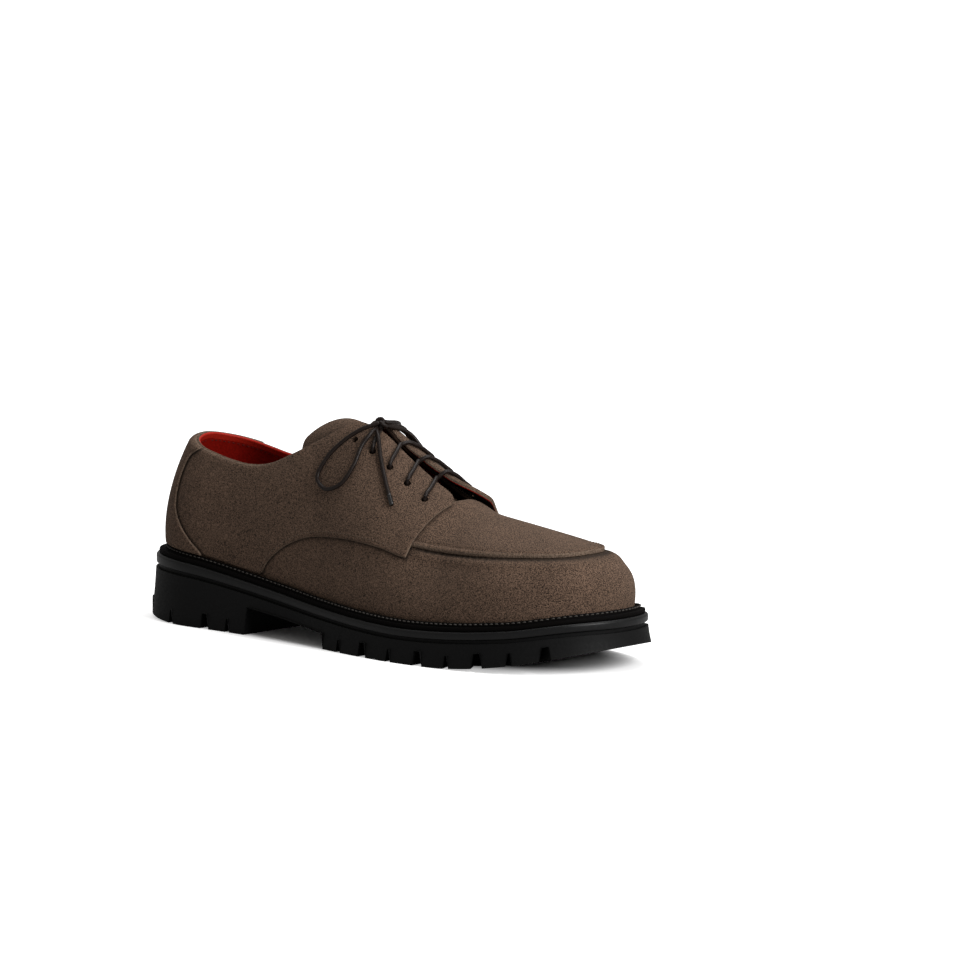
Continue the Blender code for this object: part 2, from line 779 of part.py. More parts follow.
# Eyelets through the facings and the upper behind them
eyelet_mesh = bmesh.new()
for pair in range(EYELET_PAIRS):
    station = EYELET_FIRST - pair * EYELET_PITCH
    for side in (LATERAL, MEDIAL):
        v = at_half(station, side, EYELET_HALF - EYELET_TAPER * pair)
        ends = [lifted(station, v, side, h) for h in (-EYELET_REACH, EYELET_REACH)]
        tube(eyelet_mesh, ends, EYELET_RADIUS)
eyelet_cutter = add("eyelet_cutter", eyelet_mesh, SUEDE, cutters)
for piece in (upper, quarters[LATERAL], quarters[MEDIAL]):
    cut(piece, eyelet_cutter, "eyelets")

# The laces: a crossing above each pair of eyelets, then the knot, its loops and its ends
OVER = OVERLAY_LIFT + OVERLAY + LACE_RADIUS + 0.5
for pair in range(EYELET_PAIRS - 1):
    low = EYELET_FIRST - pair * EYELET_PITCH
    strands = []
    for side in (LATERAL, MEDIAL):
        points = [lifted(low, at_half(low, side, EYELET_HALF - EYELET_TAPER * pair), side, OVER)]
        for share, half, own, drop in zip(*STRAND.values()):
            station = low - share * EYELET_PITCH
            points.append(lifted(station, at_half(station, own * side, half), own * side, OVER - drop))
        strand = bmesh.new()
        tube(strand, path_through(points, 7), LACE_RADIUS, 6)
        strands.append(strand)
    name = f"lace_cross_{pair + 1}"
    cross = add(name, strands[0], CORD)
    joined = cross.modifiers.new("join", "BOOLEAN")
    joined.operation = "UNION"
    joined.solver = "EXACT"
    joined.object = add(name + "_strand", strands[1], CORD, cutters)

knot_mesh = bmesh.new()
bmesh.ops.create_uvsphere(knot_mesh, u_segments=10, v_segments=6, radius=1.0)
knot_rise = at_half(KNOT_STATION, LATERAL, KNOT_HALF)
knot_middle = lifted(KNOT_STATION, knot_rise, LATERAL, OVER + KNOT_LIFT)
for vertex in knot_mesh.verts:
    vertex.co = place(knot_middle + np.array(vertex.co) * np.array(KNOT_RADII))
add("lace_knot", knot_mesh, CORD)

for label, rows, side in (
    ("lace_loop_lateral", LOOP, LATERAL),
    ("lace_loop_medial", LOOP, MEDIAL),
    ("lace_end_lateral", END, LATERAL),
    ("lace_end_medial", END, MEDIAL),
):
    points = []
    for station, half, lift in zip(*rows.values()):
        points.append(lifted(station, at_half(station, side, half), side, lift))
    cord = bmesh.new()
    tube(cord, path_through(points, 19 if rows is LOOP else 9), LACE_RADIUS, 6)
    add(label, cord, CORD)
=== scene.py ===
# %% [markdown]
# # A lug sole derby, dressed
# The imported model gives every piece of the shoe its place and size. This lesson puts the finished surface
# over it: napped suede, red lining leather, black rubber, thread and a waxed lace. Each piece is a surface
# worked out with numpy from the same few tables that describe the last, so the fine pieces lie where the
# solids lie.

# %% Load the frame
import math

import bmesh
import bpy
import numpy as np
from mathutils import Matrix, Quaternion, Vector


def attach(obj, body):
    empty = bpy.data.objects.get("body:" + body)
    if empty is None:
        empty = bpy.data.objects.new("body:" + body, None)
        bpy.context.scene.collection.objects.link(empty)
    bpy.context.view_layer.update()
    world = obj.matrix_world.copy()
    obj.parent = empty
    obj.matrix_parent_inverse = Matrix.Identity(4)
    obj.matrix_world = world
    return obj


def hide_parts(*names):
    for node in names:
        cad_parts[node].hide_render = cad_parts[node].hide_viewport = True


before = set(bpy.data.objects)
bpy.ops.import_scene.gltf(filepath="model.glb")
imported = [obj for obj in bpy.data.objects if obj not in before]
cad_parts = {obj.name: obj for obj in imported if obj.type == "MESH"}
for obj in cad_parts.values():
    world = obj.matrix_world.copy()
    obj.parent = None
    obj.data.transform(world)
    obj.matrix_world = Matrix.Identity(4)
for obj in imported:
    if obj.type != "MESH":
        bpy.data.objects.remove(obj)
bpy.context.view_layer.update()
scene = bpy.context.scene

# %% [markdown]
# ## The camera
# The photograph looks at the outer side of the shoe from the toe's end, a little above the floor, through a
# long lens. A long lens far away keeps upright edges nearly parallel, as they are in the picture. The shoe
# sits left of the middle of the frame, so the lens is shifted and the camera still points straight at the
# shoe.

# %% Camera
AZIMUTH = math.radians(40.0)
ELEVATION = math.radians(8.0)
ROLL = math.radians(0.7)
DISTANCE = 3.0
AIM = Vector((0.0, 0.0, 0.05))
FRAME_PIXELS = 960
PIXELS_PER_METRE = 1945.0
AIM_PIXEL = (393.0, 544.0)
SENSOR_MM = 36.0

back = Vector(
    (
        math.sin(AZIMUTH) * math.cos(ELEVATION),
        -math.cos(AZIMUTH) * math.cos(ELEVATION),
        math.sin(ELEVATION),
    )
)
lens = bpy.data.cameras.new("camera")
lens.sensor_width = SENSOR_MM
lens.lens = PIXELS_PER_METRE * DISTANCE / FRAME_PIXELS * SENSOR_MM
lens.shift_x = (FRAME_PIXELS / 2 - AIM_PIXEL[0]) / FRAME_PIXELS
lens.shift_y = (AIM_PIXEL[1] - FRAME_PIXELS / 2) / FRAME_PIXELS
camera = bpy.data.objects.new("camera", lens)
camera.location = AIM + back * DISTANCE
camera.rotation_mode = "QUATERNION"
camera.rotation_quaternion = (-back).to_track_quat("-Z", "Y") @ Quaternion((0.0, 0.0, 1.0), ROLL)
scene.collection.objects.link(camera)
scene.camera = camera
print("camera: lens", round(lens.lens, 1), "mm")

# %% [markdown]
# ## The last
# A shoe is built round a last, the wooden form of a foot. Here the last is a formula. A station runs along
# the edge of the sole from the heel's back to the toe's tip, and a rise runs up from the sole's edge to the
# top. Short tables hold the sizes at a few stations, in millimetres, and a cubic joins the rows smoothly.

# %% Tables of the last and the sole
LATERAL = -1.0
MEDIAL = 1.0
LENGTH = 302.0
HEEL_CENTRE = 45.0
TOE_CENTRE = 213.0
HEEL_FULLNESS = 2.15
TOE_FULLNESS = 2.3
SWING = 5.0
SWING_START = 165.0
HEEL_BEVEL = 3.5
HEEL_BEVEL_LENGTH = 45.0
TOE_SPRING = 13.5
TOE_SPRING_START = 215.0
SOLE_FLARE = 1.8
WELT_THICKNESS = 2.0
GAP = 0.3
LAST_TOP_BACK = 13.0


def table(columns, *rows):
    """A short table as one array of numbers for each named column."""
    return dict(zip(columns.split(), np.array(rows, float).T))


OUTLINE = table(
    "x lateral medial",
    (45, 37.8, 37.8),
    (79, 38.2, 36.6),
    (110, 39.6, 36.2),
    (140, 44.5, 40.0),
    (170, 50.5, 47.0),
    (195, 53.6, 52.4),
    (213, 54.0, 54.0),
)
SOLE = table(
    "x top band groove",
    (0, 34.5, 5.2, 2.6),
    (45, 32.4, 4.8, 2.4),
    (79, 28.0, 4.2, 2.2),
    (110, 23.6, 4.0, 2.1),
    (140, 20.2, 3.8, 2.0),
    (170, 18.3, 3.8, 2.0),
    (200, 17.4, 3.8, 2.0),
    (230, 18.6, 3.9, 2.0),
    (260, 21.4, 4.0, 2.1),
    (302, 27.2, 4.2, 2.2),
)
SECTIONS = table(
    "station inset wall_out wall_up crown_out crown_drop",
    (0, 9.2, 3.5, 21.0, 15.0, 22.0),
    (45, 7.8, 4.0, 20.0, 18.0, 25.0),
    (79, 7.2, 5.0, 19.5, 17.0, 27.0),
    (110, 6.8, 6.0, 20.0, 21.0, 13.0),
    (134, 6.5, 6.5, 22.0, 23.0, 3.0),
    (165, 6.2, 5.5, 22.0, 30.0, 0.5),
    (194, 6.2, 5.0, 19.5, 29.0, 2.0),
    (213, 6.2, 4.5, 18.0, 29.0, 3.0),
    (258, 7.0, 4.8, 29.0, 52.0, 13.0),
    (302, 7.6, 4.5, 31.0, 63.0, 15.0),
)
LAST_TOP = table(
    "x half height",
    (45, 13.0, 110.0),
    (79, 13.0, 110.0),
    (110, 6.0, 113.0),
    (134, 0.0, 114.5),
    (165, 0.0, 96.0),
    (194, 0.0, 79.0),
    (213, 0.0, 71.0),
)
print("tables:", len(SECTIONS["station"]), "sections,", len(SOLE["x"]), "rows of the sole")

# %% [markdown]
# Every function below takes whole arrays, so one call gives the points of a whole panel. The first ones
# give the plan of the shoe and the heights of the sole's layers along it.

# %% Plan of the last


def unit(vectors):
    """Vectors scaled to a length of one."""
    return vectors / np.linalg.norm(vectors, axis=-1, keepdims=True)


def bell(offset, width):
    """A bell curve: e to the power of minus the square of offset over width."""
    return np.exp(-((offset / width) ** 2))


def gentle(share):
    """A smooth step from 0 to 1: three times the square of the share less twice its cube."""
    share = np.clip(share, 0, 1)
    return share * share * (3 - 2 * share)


def smooth(columns, key, name, at):
    """A table's column anywhere along its key: a cubic Hermite curve between rows, level at both ends."""
    x = columns[key]
    y = columns[name]
    at = np.clip(np.asarray(at, float), x[0], x[-1])
    slope = np.gradient(y, x)
    slope[[0, -1]] = 0.0
    row = np.clip(np.searchsorted(x, at, side="right") - 1, 0, len(x) - 2)
    step = x[row + 1] - x[row]
    t = (at - x[row]) / step
    rise = (3 - 2 * t) * t * t
    lead = t * (1 - t) ** 2 * step * slope[row]
    trail = t * t * (1 - t) * step * slope[row + 1]
    return y[row] + rise * (y[row + 1] - y[row]) + lead - trail


def spine(station, side):
    """Centre and outward direction of a section: square to the shoe, fanned by a quarter turn at each end."""
    heel = np.clip(1 - station / HEEL_CENTRE, 0, 1) * math.pi / 2
    toe = np.clip((station - TOE_CENTRE) / (LENGTH - TOE_CENTRE), 0, 1) * math.pi / 2
    centre = np.clip(station, HEEL_CENTRE, TOE_CENTRE)
    return centre, np.sin(toe) - np.sin(heel), side * np.cos(heel + toe)


def reach(station, side):
    """Distance from a section's centre to the sole's edge: half the width, a superellipse at each end."""
    centre, ahead, across = spine(station, side)
    lateral = smooth(OUTLINE, "x", "lateral", centre)
    half = np.where(np.asarray(side) < 0, lateral, smooth(OUTLINE, "x", "medial", centre))
    end = np.where(ahead < 0, HEEL_CENTRE, LENGTH - TOE_CENTRE)
    power = np.where(ahead < 0, HEEL_FULLNESS, TOE_FULLNESS)
    return ((abs(across) / half) ** power + (abs(ahead) / end) ** power) ** (-1 / power)


def swing(x):
    """Sideways shift of the shoe towards its inner side, growing with the square of the way to the toe."""
    return SWING * np.clip((x - SWING_START) / (LENGTH - SWING_START), 0, 1.1) ** 2


def plan(station, side, distance):
    """Plan position at a distance from a section's centre."""
    centre, ahead, across = spine(station, side)
    x = centre + ahead * distance
    return x, across * distance + swing(x)


def tread(x):
    """Height of the tread: flat under heel and ball, parabolas for the heel's bevel and the toe spring."""
    behind = np.clip(1 - x / HEEL_BEVEL_LENGTH, 0, 1.1)
    front = np.clip((x - TOE_SPRING_START) / (LENGTH - TOE_SPRING_START), 0, 1.1)
    return HEEL_BEVEL * behind**2 + TOE_SPRING * front**2


def band_top(x):
    """Height of the midsole band's top."""
    return smooth(SOLE, "x", "top", x)


def groove_top(x):
    """Height of the groove's upper edge: the band's top less its thickness."""
    return band_top(x) - smooth(SOLE, "x", "band", x)


def plate_top(x):
    """Height of the groove's lower edge, the top of the outsole's side."""
    return groove_top(x) - smooth(SOLE, "x", "groove", x)


print("sole:", float(band_top(0)), "mm high at the heel,", float(band_top(LENGTH)), "mm at the toe")

# %% [markdown]
# A section of the last is a Bezier curve from the feather edge, where the upper meets the sole, up the wall
# and over the top. A panel lies on that skin at a lift, square to it. Where a panel must end at a given
# height or width, a bisection halves the range of the rise thirty times for all its points at once.

# %% Sections of the last
STATION_STEP = 0.5
RISE_STEP = 0.01
HALVINGS = 30
WIDTH_TRIES = 101


def inset(station):
    """How far the upper's feather edge stands in from the sole's edge."""
    return smooth(SECTIONS, "station", "inset", station)


def section(station, v, side):
    """Half-width and height on the last: a cubic Bezier from the feather edge up the wall to the top."""
    centre, ahead, across = spine(station, side)
    foot = reach(station, side) - inset(station)
    base = band_top(plan(station, side, foot)[0]) + WELT_THICKNESS + 2 * GAP
    half = np.maximum(smooth(LAST_TOP, "x", "half", centre), 0.0)
    top = np.hypot(half * across, np.where(ahead < 0, LAST_TOP_BACK, 0.0) * ahead)
    crest = smooth(LAST_TOP, "x", "height", centre)
    names = ("wall_out", "wall_up", "crown_out", "crown_drop")
    out, up, crown, drop = [smooth(SECTIONS, "station", name, station) for name in names]
    a = (1 - v) ** 3
    b = 3 * v * (1 - v) ** 2
    c = 3 * v**2 * (1 - v)
    d = v**3
    r = a * foot + b * (foot + out) + c * (top + crown) + d * top
    z = a * base + b * (base + up) + c * (crest - drop) + d * crest
    return r, z


def last(station, v, side):
    """Point of the last's skin."""
    r, z = section(station, v, side)
    x, y = plan(station, side, r)
    return np.stack(np.broadcast_arrays(x, y, z), -1)


def lifted(station, v, side, lift):
    """Point at a lift from the skin, along the normal: the cross product of two small steps on the skin."""
    station, v, side, lift = np.broadcast_arrays(station, v, side, lift)
    v = np.minimum(v, 1 - RISE_STEP)
    along = last(station + STATION_STEP, v, side) - last(station - STATION_STEP, v, side)
    up = last(station, v + RISE_STEP, side) - last(station, v - RISE_STEP, side)
    normal = unit(np.cross(along, up) * -side[..., None])
    return last(station, v, side) + normal * lift[..., None]


def bisect(low, high, below):
    """The place between low and high where below() turns false, for every entry of the arrays."""
    for _ in range(HALVINGS):
        middle = (low + high) / 2
        under = below(middle)
        low = np.where(under, middle, low)
        high = np.where(under, high, middle)
    return (low + high) / 2


def at_height(station, side, height):
    """Rise where a section reaches a height."""
    station, side, height = np.broadcast_arrays(station, side, height)
    zero = np.zeros(station.shape)
    return bisect(zero, zero + 1, lambda v: section(station, v, side)[1] < height)


def at_half(station, side, half):
    """Rise, above a section's widest part, where it has come in to a half-width."""
    station, side, half = np.broadcast_arrays(station, side, half)
    tries = np.linspace(0.0, 1.0, WIDTH_TRIES)
    widths = section(station[..., None], tries, side[..., None])[0]
    widest = tries[np.argmax(widths, axis=-1)]
    return bisect(widest, np.ones(station.shape), lambda v: section(station, v, side)[0] > half)


def around(columns):
    """Stations and sides once round the shoe: the outer side from heel to toe, then the inner side back."""
    columns = np.asarray(columns, float)
    station = np.concatenate([columns, columns[-2:0:-1]])
    side = np.concatenate([np.full(len(columns), LATERAL), np.full(len(columns) - 2, MEDIAL)])
    return station, side


def ring(columns, offset, height, feather=False):
    """Closed ring round the shoe, offset from the sole's edge or from the feather edge."""
    station, side = around(columns)
    distance = reach(station, side) + offset - feather * inset(station)
    x, y = plan(station, side, distance)
    return np.stack([x, y, height(x)], -1)


edge_stations, edge_sides = around(np.linspace(0, LENGTH, 605))
EDGE = plan(edge_stations, edge_sides, reach(edge_stations, edge_sides) + SOLE_FLARE)
MIDDLE = np.array([LENGTH / 2, (EDGE[1].min() + EDGE[1].max()) / 2, 0.0])
print("last: sole", round(float(np.ptp(EDGE[0])), 1), "x", round(float(np.ptp(EDGE[1])), 1), "mm")

# %% [markdown]
# ## From arrays to meshes
# A grid of points becomes a mesh by joining each point with its neighbours. Curves could be lofted in
# Blender instead, but a grid keeps every point where its formula put it. Sizes stay in millimetres from the
# heel's back until one function turns them into metres about the middle of the shoe, and one more finishes
# every mesh.

# %% Grids and meshes
MM = 0.001
MERGE_DISTANCE = 1e-6
SLIVER_SIZE = 1e-7


def place(points):
    """Millimetres from the back of the heel to metres about the middle of the shoe."""
    return (np.asarray(points, float) - MIDDLE) * MM


def grid_faces(columns, rows, wrap=False):
    """Corner numbers of the quads of a grid stored column by column."""
    i = np.arange(columns if wrap else columns - 1)
    j = np.arange(rows - 1)
    here = (i[:, None] * rows + j).ravel()
    there = (((i + 1) % columns)[:, None] * rows + j).ravel()
    return np.stack([here, there, there + 1, here + 1], -1)


def joined(patches):
    """Points and faces of several patches as one: faces are counted on from the points before them."""
    points = [grid.reshape(-1, 3) for grid, faces in patches]
    starts = np.cumsum([0] + [len(part) for part in points])
    faces = [faces + start for (grid, faces), start in zip(patches, starts)]
    return np.concatenate(points), np.concatenate(faces)


def build(name, points, faces, finishes, finish_of=None, outward=False, crease=None, seam=None):
    """One object from points in millimetres and quads: doubles merged, shaded smooth, riding on the shoe."""
    data = bpy.data.meshes.new(name)
    data.from_pydata(place(points).tolist(), [], faces.tolist())
    for finish in finishes:
        data.materials.append(finish)
    if finish_of is not None:
        data.polygons.foreach_set("material_index", np.asarray(finish_of, np.int32))
    # The seam attribute holds each point's share of painted shade.
    if seam is not None:
        shade = data.attributes.new("seam", "FLOAT", "POINT")
        shade.data.foreach_set("value", np.asarray(seam, np.float32).ravel())
    mesh = bmesh.new()
    mesh.from_mesh(data)
    bmesh.ops.remove_doubles(mesh, verts=mesh.verts, dist=MERGE_DISTANCE)
    bmesh.ops.dissolve_degenerate(mesh, edges=mesh.edges, dist=SLIVER_SIZE)
    if outward:
        bmesh.ops.recalc_face_normals(mesh, faces=mesh.faces)
    mesh.to_mesh(data)
    mesh.free()
    data.shade_smooth()
    if crease is not None:
        data.set_sharp_from_angle(angle=math.radians(crease))
    made = bpy.data.objects.new(name, data)
    scene.collection.objects.link(made)
    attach(made, "root")
    return made


print("grids: 3 x 4 points make", len(grid_faces(3, 4)), "quads")

# %% [markdown]
# ## A leather panel
# A panel is a slab of suede: a finished outer grid, an inner grid below it, and a strip round the border
# that joins the two. A Solidify modifier would also give it thickness, but here the pale line along the
# border, the cut edge and the lining each take a finish of their own. Spacing the grid by a cosine puts
# more rows near the borders, where the edge is rounded.

# %% Panels
EDGE_LINE = 0.9
LINING_SHARE = 0.66
PANEL_CREASE = 60
BATCHES = 40


def eased(count):
    """Numbers from 0 to 1 spaced by a cosine, close together at both ends."""
    return (1 - np.cos(np.linspace(0, math.pi, count))) / 2


def run_along(grid, axis=0):
    """Distance along a grid's own lines from where they start: the steps between neighbours, added up."""
    step = np.linalg.norm(np.diff(grid, axis=axis), axis=-1)
    start = np.zeros_like(np.take(step, [0], axis=axis))
    return np.concatenate([start, np.cumsum(step, axis=axis)], axis=axis)


def edge_distance(grid):
    """Distance of each point of a grid from its border, along the grid's own lines."""
    run = run_along(grid, 0)
    climb = run_along(grid, 1)
    return np.minimum(np.minimum(run, run[-1:] - run), np.minimum(climb, climb[:, -1:] - climb))


def nearness(points, line, width):
    """Share of a seam's shade at each point: a bell curve of the distance to a line's nearest point."""
    batches = np.array_split(points.reshape(-1, 3), BATCHES)
    far = [np.linalg.norm(batch[:, None] - line[None], axis=-1).min(axis=1) for batch in batches]
    return bell(np.concatenate(far), width).reshape(points.shape[:-1])


def rounded(distance, radius):
    """Share of full thickness near an edge: a quarter circle that is full one radius in from the edge."""
    return np.sqrt(1 - (1 - np.clip(distance / radius, 0, 1)) ** 2)


def border(columns, rows):
    """Point numbers round the border of a grid, in the turning sense of its faces."""
    foot = np.arange(columns - 1) * rows
    front = (columns - 1) * rows + np.arange(rows - 1)
    top = np.arange(columns - 1, 0, -1) * rows + rows - 1
    behind = np.arange(rows - 1, 0, -1)
    return np.concatenate([foot, front, top, behind])


def slab(name, outer, inner, face, lining=None, cut=None, inside=None, seam=None, edge=None):
    """A closed panel between two grids: its face, a paler line along the border and a cut edge in two strips.

    Where the distance to the edge is given, the last row is a joint of the grid with itself and has no rim.
    """
    columns, rows = outer.shape[:2]
    count = columns * rows
    top = grid_faces(columns, rows)
    loop = border(columns, rows)
    after = np.roll(loop, -1)
    halfway = (outer.reshape(-1, 3) * (1 - LINING_SHARE) + inner.reshape(-1, 3) * LINING_SHARE)[loop]
    here = 2 * count + np.arange(len(loop))
    ahead = np.roll(here, -1)
    rim = np.ones(len(loop), bool)
    if edge is not None:
        rim = (loop % rows < rows - 1) | (after % rows < rows - 1)
    upper_rim = np.stack([after, loop, here, ahead], -1)[rim]
    lower_rim = np.stack([ahead, here, loop + count, after + count], -1)[rim]
    points = np.concatenate([outer.reshape(-1, 3), inner.reshape(-1, 3), halfway])
    faces = np.concatenate([top, top[:, ::-1] + count, upper_rim, lower_rim])
    border_distance = edge_distance(outer) if edge is None else edge
    near = border_distance.ravel()[top].mean(axis=1) < EDGE_LINE
    # The rims and the inside are dark by default: partly the cut edge's own colour, partly painted shade
    # under the panel.
    finishes = [face, inside or lining or face, SUEDE_EDGE, cut or SUEDE_CUT_AND_SHADE, lining or SUEDE_CUT_AND_SHADE]
    parts = np.repeat([0, 1, 3, 4], [len(top), len(top), len(upper_rim), len(lower_rim)])
    parts[: len(top)] = np.where(near, 2, 0)
    # The seam attribute holds each point's share of painted shade; the inner grid and the rim get none.
    if seam is not None:
        seam = np.concatenate([seam.ravel(), np.zeros(count + len(loop))])
    return build(name, points, faces, finishes, parts, crease=PANEL_CREASE, seam=seam)


print("panels: four eased steps", np.round(eased(5), 2).tolist())

# %% [markdown]
# ## A cord
# A lace is a round section carried along a route. The route's few points are given and joined by a
# cubic, and circles are set square to it at even steps. A curve object with a bevel would do the same, but
# as a mesh the cord is finished like every other piece.

# %% Cords
ROUTE_FINENESS = 40
LEVEL_GUIDE = (0.15, 0.2, 1.0)
CORD_SIDES = 12
TIP_RADIUS = 0.6
TIP_REACH = 0.5


def route(points, spacing):
    """Evenly spaced points on a cubic Hermite curve through the given ones, by axis over chord length."""
    points = np.asarray(points, float)
    chord = run_along(points)
    slope = np.gradient(points, chord, axis=0)
    fine = np.linspace(0, chord[-1], ROUTE_FINENESS * len(points))
    row = np.clip(np.searchsorted(chord, fine, side="right") - 1, 0, len(chord) - 2)
    step = (chord[row + 1] - chord[row])[:, None]
    t = ((fine - chord[row])[:, None]) / step
    curve = (
        (1 + 2 * t) * (1 - t) ** 2 * points[row]
        + t * (1 - t) ** 2 * step * slope[row]
        + t * t * (3 - 2 * t) * points[row + 1]
        - t * t * (1 - t) * step * slope[row + 1]
    )
    length = run_along(curve)
    even = np.linspace(0, length[-1], max(int(length[-1] / spacing), 4) + 1)
    return np.stack([np.interp(even, length, curve[:, k]) for k in range(3)], -1)


def frames(path):
    """Direction, side and up of a path, the side kept level where the path isn't upright."""
    run = unit(np.gradient(path, axis=0))
    side = unit(np.cross(run, LEVEL_GUIDE))
    return run, side, np.cross(side, run)


def tube(name, path, radius, finish):
    """A round cord: circles set square to a path, with a smaller circle and a flat cap past each end."""
    run, side, up = frames(path)
    turn = np.arange(CORD_SIDES) * 2 * math.pi / CORD_SIDES
    circle = np.cos(turn)[None, :, None] * side[:, None] + np.sin(turn)[None, :, None] * up[:, None]
    tip = circle[[0, -1]] * radius * TIP_RADIUS
    first = path[0] - run[0] * radius * TIP_REACH + tip[0]
    final = path[-1] + run[-1] * radius * TIP_REACH + tip[1]
    rings = np.concatenate([first[None], path[:, None] + circle * radius, final[None]])
    grid = np.swapaxes(rings, 0, 1)
    faces = grid_faces(*grid.shape[:2], wrap=True)
    made = build(name, grid.reshape(-1, 3), faces, [finish], outward=True)
    mesh = bmesh.new()
    mesh.from_mesh(made.data)
    bmesh.ops.holes_fill(mesh, edges=mesh.edges, sides=0)
    bmesh.ops.recalc_face_normals(mesh, faces=mesh.faces)
    mesh.to_mesh(made.data)
    mesh.free()
    made.data.shade_smooth()
    return made


print("cords:", CORD_SIDES, "sides")

# %% [markdown]
# ## The grain of the finishes
# Suede is leather with its flesh side brushed up. Close by it is a felt of short fibres, some leaning to
# the light and some away, so its colour is speckled at less than a millimetre and clouded over centimetres
# where the nap was stroked. One node group makes that speckle and cloud from two noises, and suede, lining,
# rubber, lace and thread use it with their own scales.

# %% Grain group
FIBRE_RANGE = {"From Min": 0.40, "From Max": 0.60}
CLOUD_RANGE = {"From Min": 0.3, "From Max": 0.7}


def preset(node, values):
    """Constant values set on a node's own sockets, by name."""
    for socket, value in values.items():
        node.inputs[socket].default_value = value
    return node


def make_grain():
    """Node group: fine speckle and broad cloud from two noises, as a mixed colour, a height and a mask."""
    tree = bpy.data.node_groups.new("grain", "ShaderNodeTree")
    for name in ("Dark", "Light"):
        tree.interface.new_socket(name, in_out="INPUT", socket_type="NodeSocketColor")
    for name in ("Speckle Scale", "Cloud Scale", "Cloud Share"):
        tree.interface.new_socket(name, in_out="INPUT", socket_type="NodeSocketFloat")
    tree.interface.new_socket("Color", in_out="OUTPUT", socket_type="NodeSocketColor")
    for name in ("Height", "Mask"):
        tree.interface.new_socket(name, in_out="OUTPUT", socket_type="NodeSocketFloat")
    node = tree.nodes.new
    link = tree.links.new
    inputs = node("NodeGroupInput")
    outputs = node("NodeGroupOutput")
    where = node("ShaderNodeTexCoord")
    fibre = preset(node("ShaderNodeTexNoise"), {"Detail": 2.0, "Roughness": 0.7})
    cloud = preset(node("ShaderNodeTexNoise"), {"Detail": 4.0})
    spread = preset(node("ShaderNodeMapRange"), FIBRE_RANGE)
    drift = preset(node("ShaderNodeMapRange"), CLOUD_RANGE)
    for noise, scale, stretched in ((fibre, "Speckle Scale", spread), (cloud, "Cloud Scale", drift)):
        link(where.outputs["Object"], noise.inputs["Vector"])
        link(inputs.outputs[scale], noise.inputs["Scale"])
        link(noise.outputs["Fac"], stretched.inputs["Value"])
    blend = node("ShaderNodeMix")
    link(inputs.outputs["Cloud Share"], blend.inputs["Factor"])
    link(spread.outputs["Result"], blend.inputs["A"])
    link(drift.outputs["Result"], blend.inputs["B"])
    colour = node("ShaderNodeMix")
    colour.data_type = "RGBA"
    link(blend.outputs["Result"], colour.inputs["Factor"])
    link(inputs.outputs["Dark"], colour.inputs["A"])
    link(inputs.outputs["Light"], colour.inputs["B"])
    link(colour.outputs["Result"], outputs.inputs["Color"])
    link(fibre.outputs["Fac"], outputs.inputs["Height"])
    link(blend.outputs["Result"], outputs.inputs["Mask"])
    return tree


GRAIN = make_grain()
print("grain group:", len(GRAIN.nodes), "nodes")

# %% [markdown]
# Each finish places the group in a material of its own. The shader stays in the material, with what is the
# same all over set on its own sockets, because the export reads it there. Suede also reads an attribute of
# the mesh that says how near a seam each point is, and darkens there: a painted shade in the join of two
# panels.

# %% Finish helper


def grained(name, colour, spread, speckle, cloud, share, bump_mm, roughness, specular, sheen=None, seam=None):
    """A material with the grain group on its colour, bump and roughness: dark to light by the spread."""
    made = bpy.data.materials.new(name)
    made.use_nodes = True
    tree = made.node_tree
    node = tree.nodes.new
    link = tree.links.new
    shader = preset(tree.nodes["Principled BSDF"], {"Specular IOR Level": specular, **(sheen or {})})
    grain = node("ShaderNodeGroup")
    grain.node_tree = GRAIN
    dark, light = [(*(np.array(colour) * k), 1.0) for k in (1 - spread, 1 + spread)]
    preset(grain, {"Dark": dark, "Light": light})
    preset(grain, {"Speckle Scale": speckle, "Cloud Scale": cloud, "Cloud Share": share})
    link(grain.outputs["Color"], shader.inputs["Base Color"])
    # Near a seam the colour is mixed towards a dark one: painted shade in the joins.
    if seam is not None:
        shade = node("ShaderNodeAttribute")
        shade.attribute_name = "seam"
        painted_shade = node("ShaderNodeMix")
        painted_shade.data_type = "RGBA"
        painted_shade.inputs["B"].default_value = (*seam, 1.0)
        link(shade.outputs["Fac"], painted_shade.inputs["Factor"])
        link(grain.outputs["Color"], painted_shade.inputs["A"])
        link(painted_shade.outputs["Result"], shader.inputs["Base Color"])
    bump = preset(node("ShaderNodeBump"), {"Strength": 1.0, "Distance": bump_mm * MM})
    link(grain.outputs["Height"], bump.inputs["Height"])
    link(bump.outputs["Normal"], shader.inputs["Normal"])
    shine = preset(node("ShaderNodeMapRange"), {"To Min": roughness[0], "To Max": roughness[1]})
    link(grain.outputs["Mask"], shine.inputs["Value"])
    link(shine.outputs["Result"], shader.inputs["Roughness"])
    return made


# %% [markdown]
# ## Suede, lining, rubber and lace
# The colours are linear and were matched to the picture under the lights at the end of this lesson. Suede
# hardly shines but has a little sheen, the lining leather is smoother, the rubber is nearly black and the
# lace is waxed.

# %% Finishes
SUEDE = grained(
    "suede",
    (0.083, 0.0525, 0.0362),
    spread=0.9,
    speckle=1800.0,
    cloud=45.0,
    share=0.12,
    bump_mm=0.5,
    roughness=(0.85, 1.0),
    specular=0.08,
    sheen={"Sheen Weight": 0.05, "Sheen Roughness": 0.6, "Sheen Tint": (0.9, 0.72, 0.58, 1)},
    # Colour of the painted shade near seams.
    seam=(0.006, 0.004, 0.003),
)
PLAIN_COLUMNS = "spread speckle cloud share bump_mm rough_low rough_high specular"


def plain_finish(name, colour, *values):
    """A finish from one row of values, in the order of the named columns."""
    row = dict(zip(PLAIN_COLUMNS.split(), values, strict=True))
    roughness = (row.pop("rough_low"), row.pop("rough_high"))
    return grained(name, colour, roughness=roughness, **row)


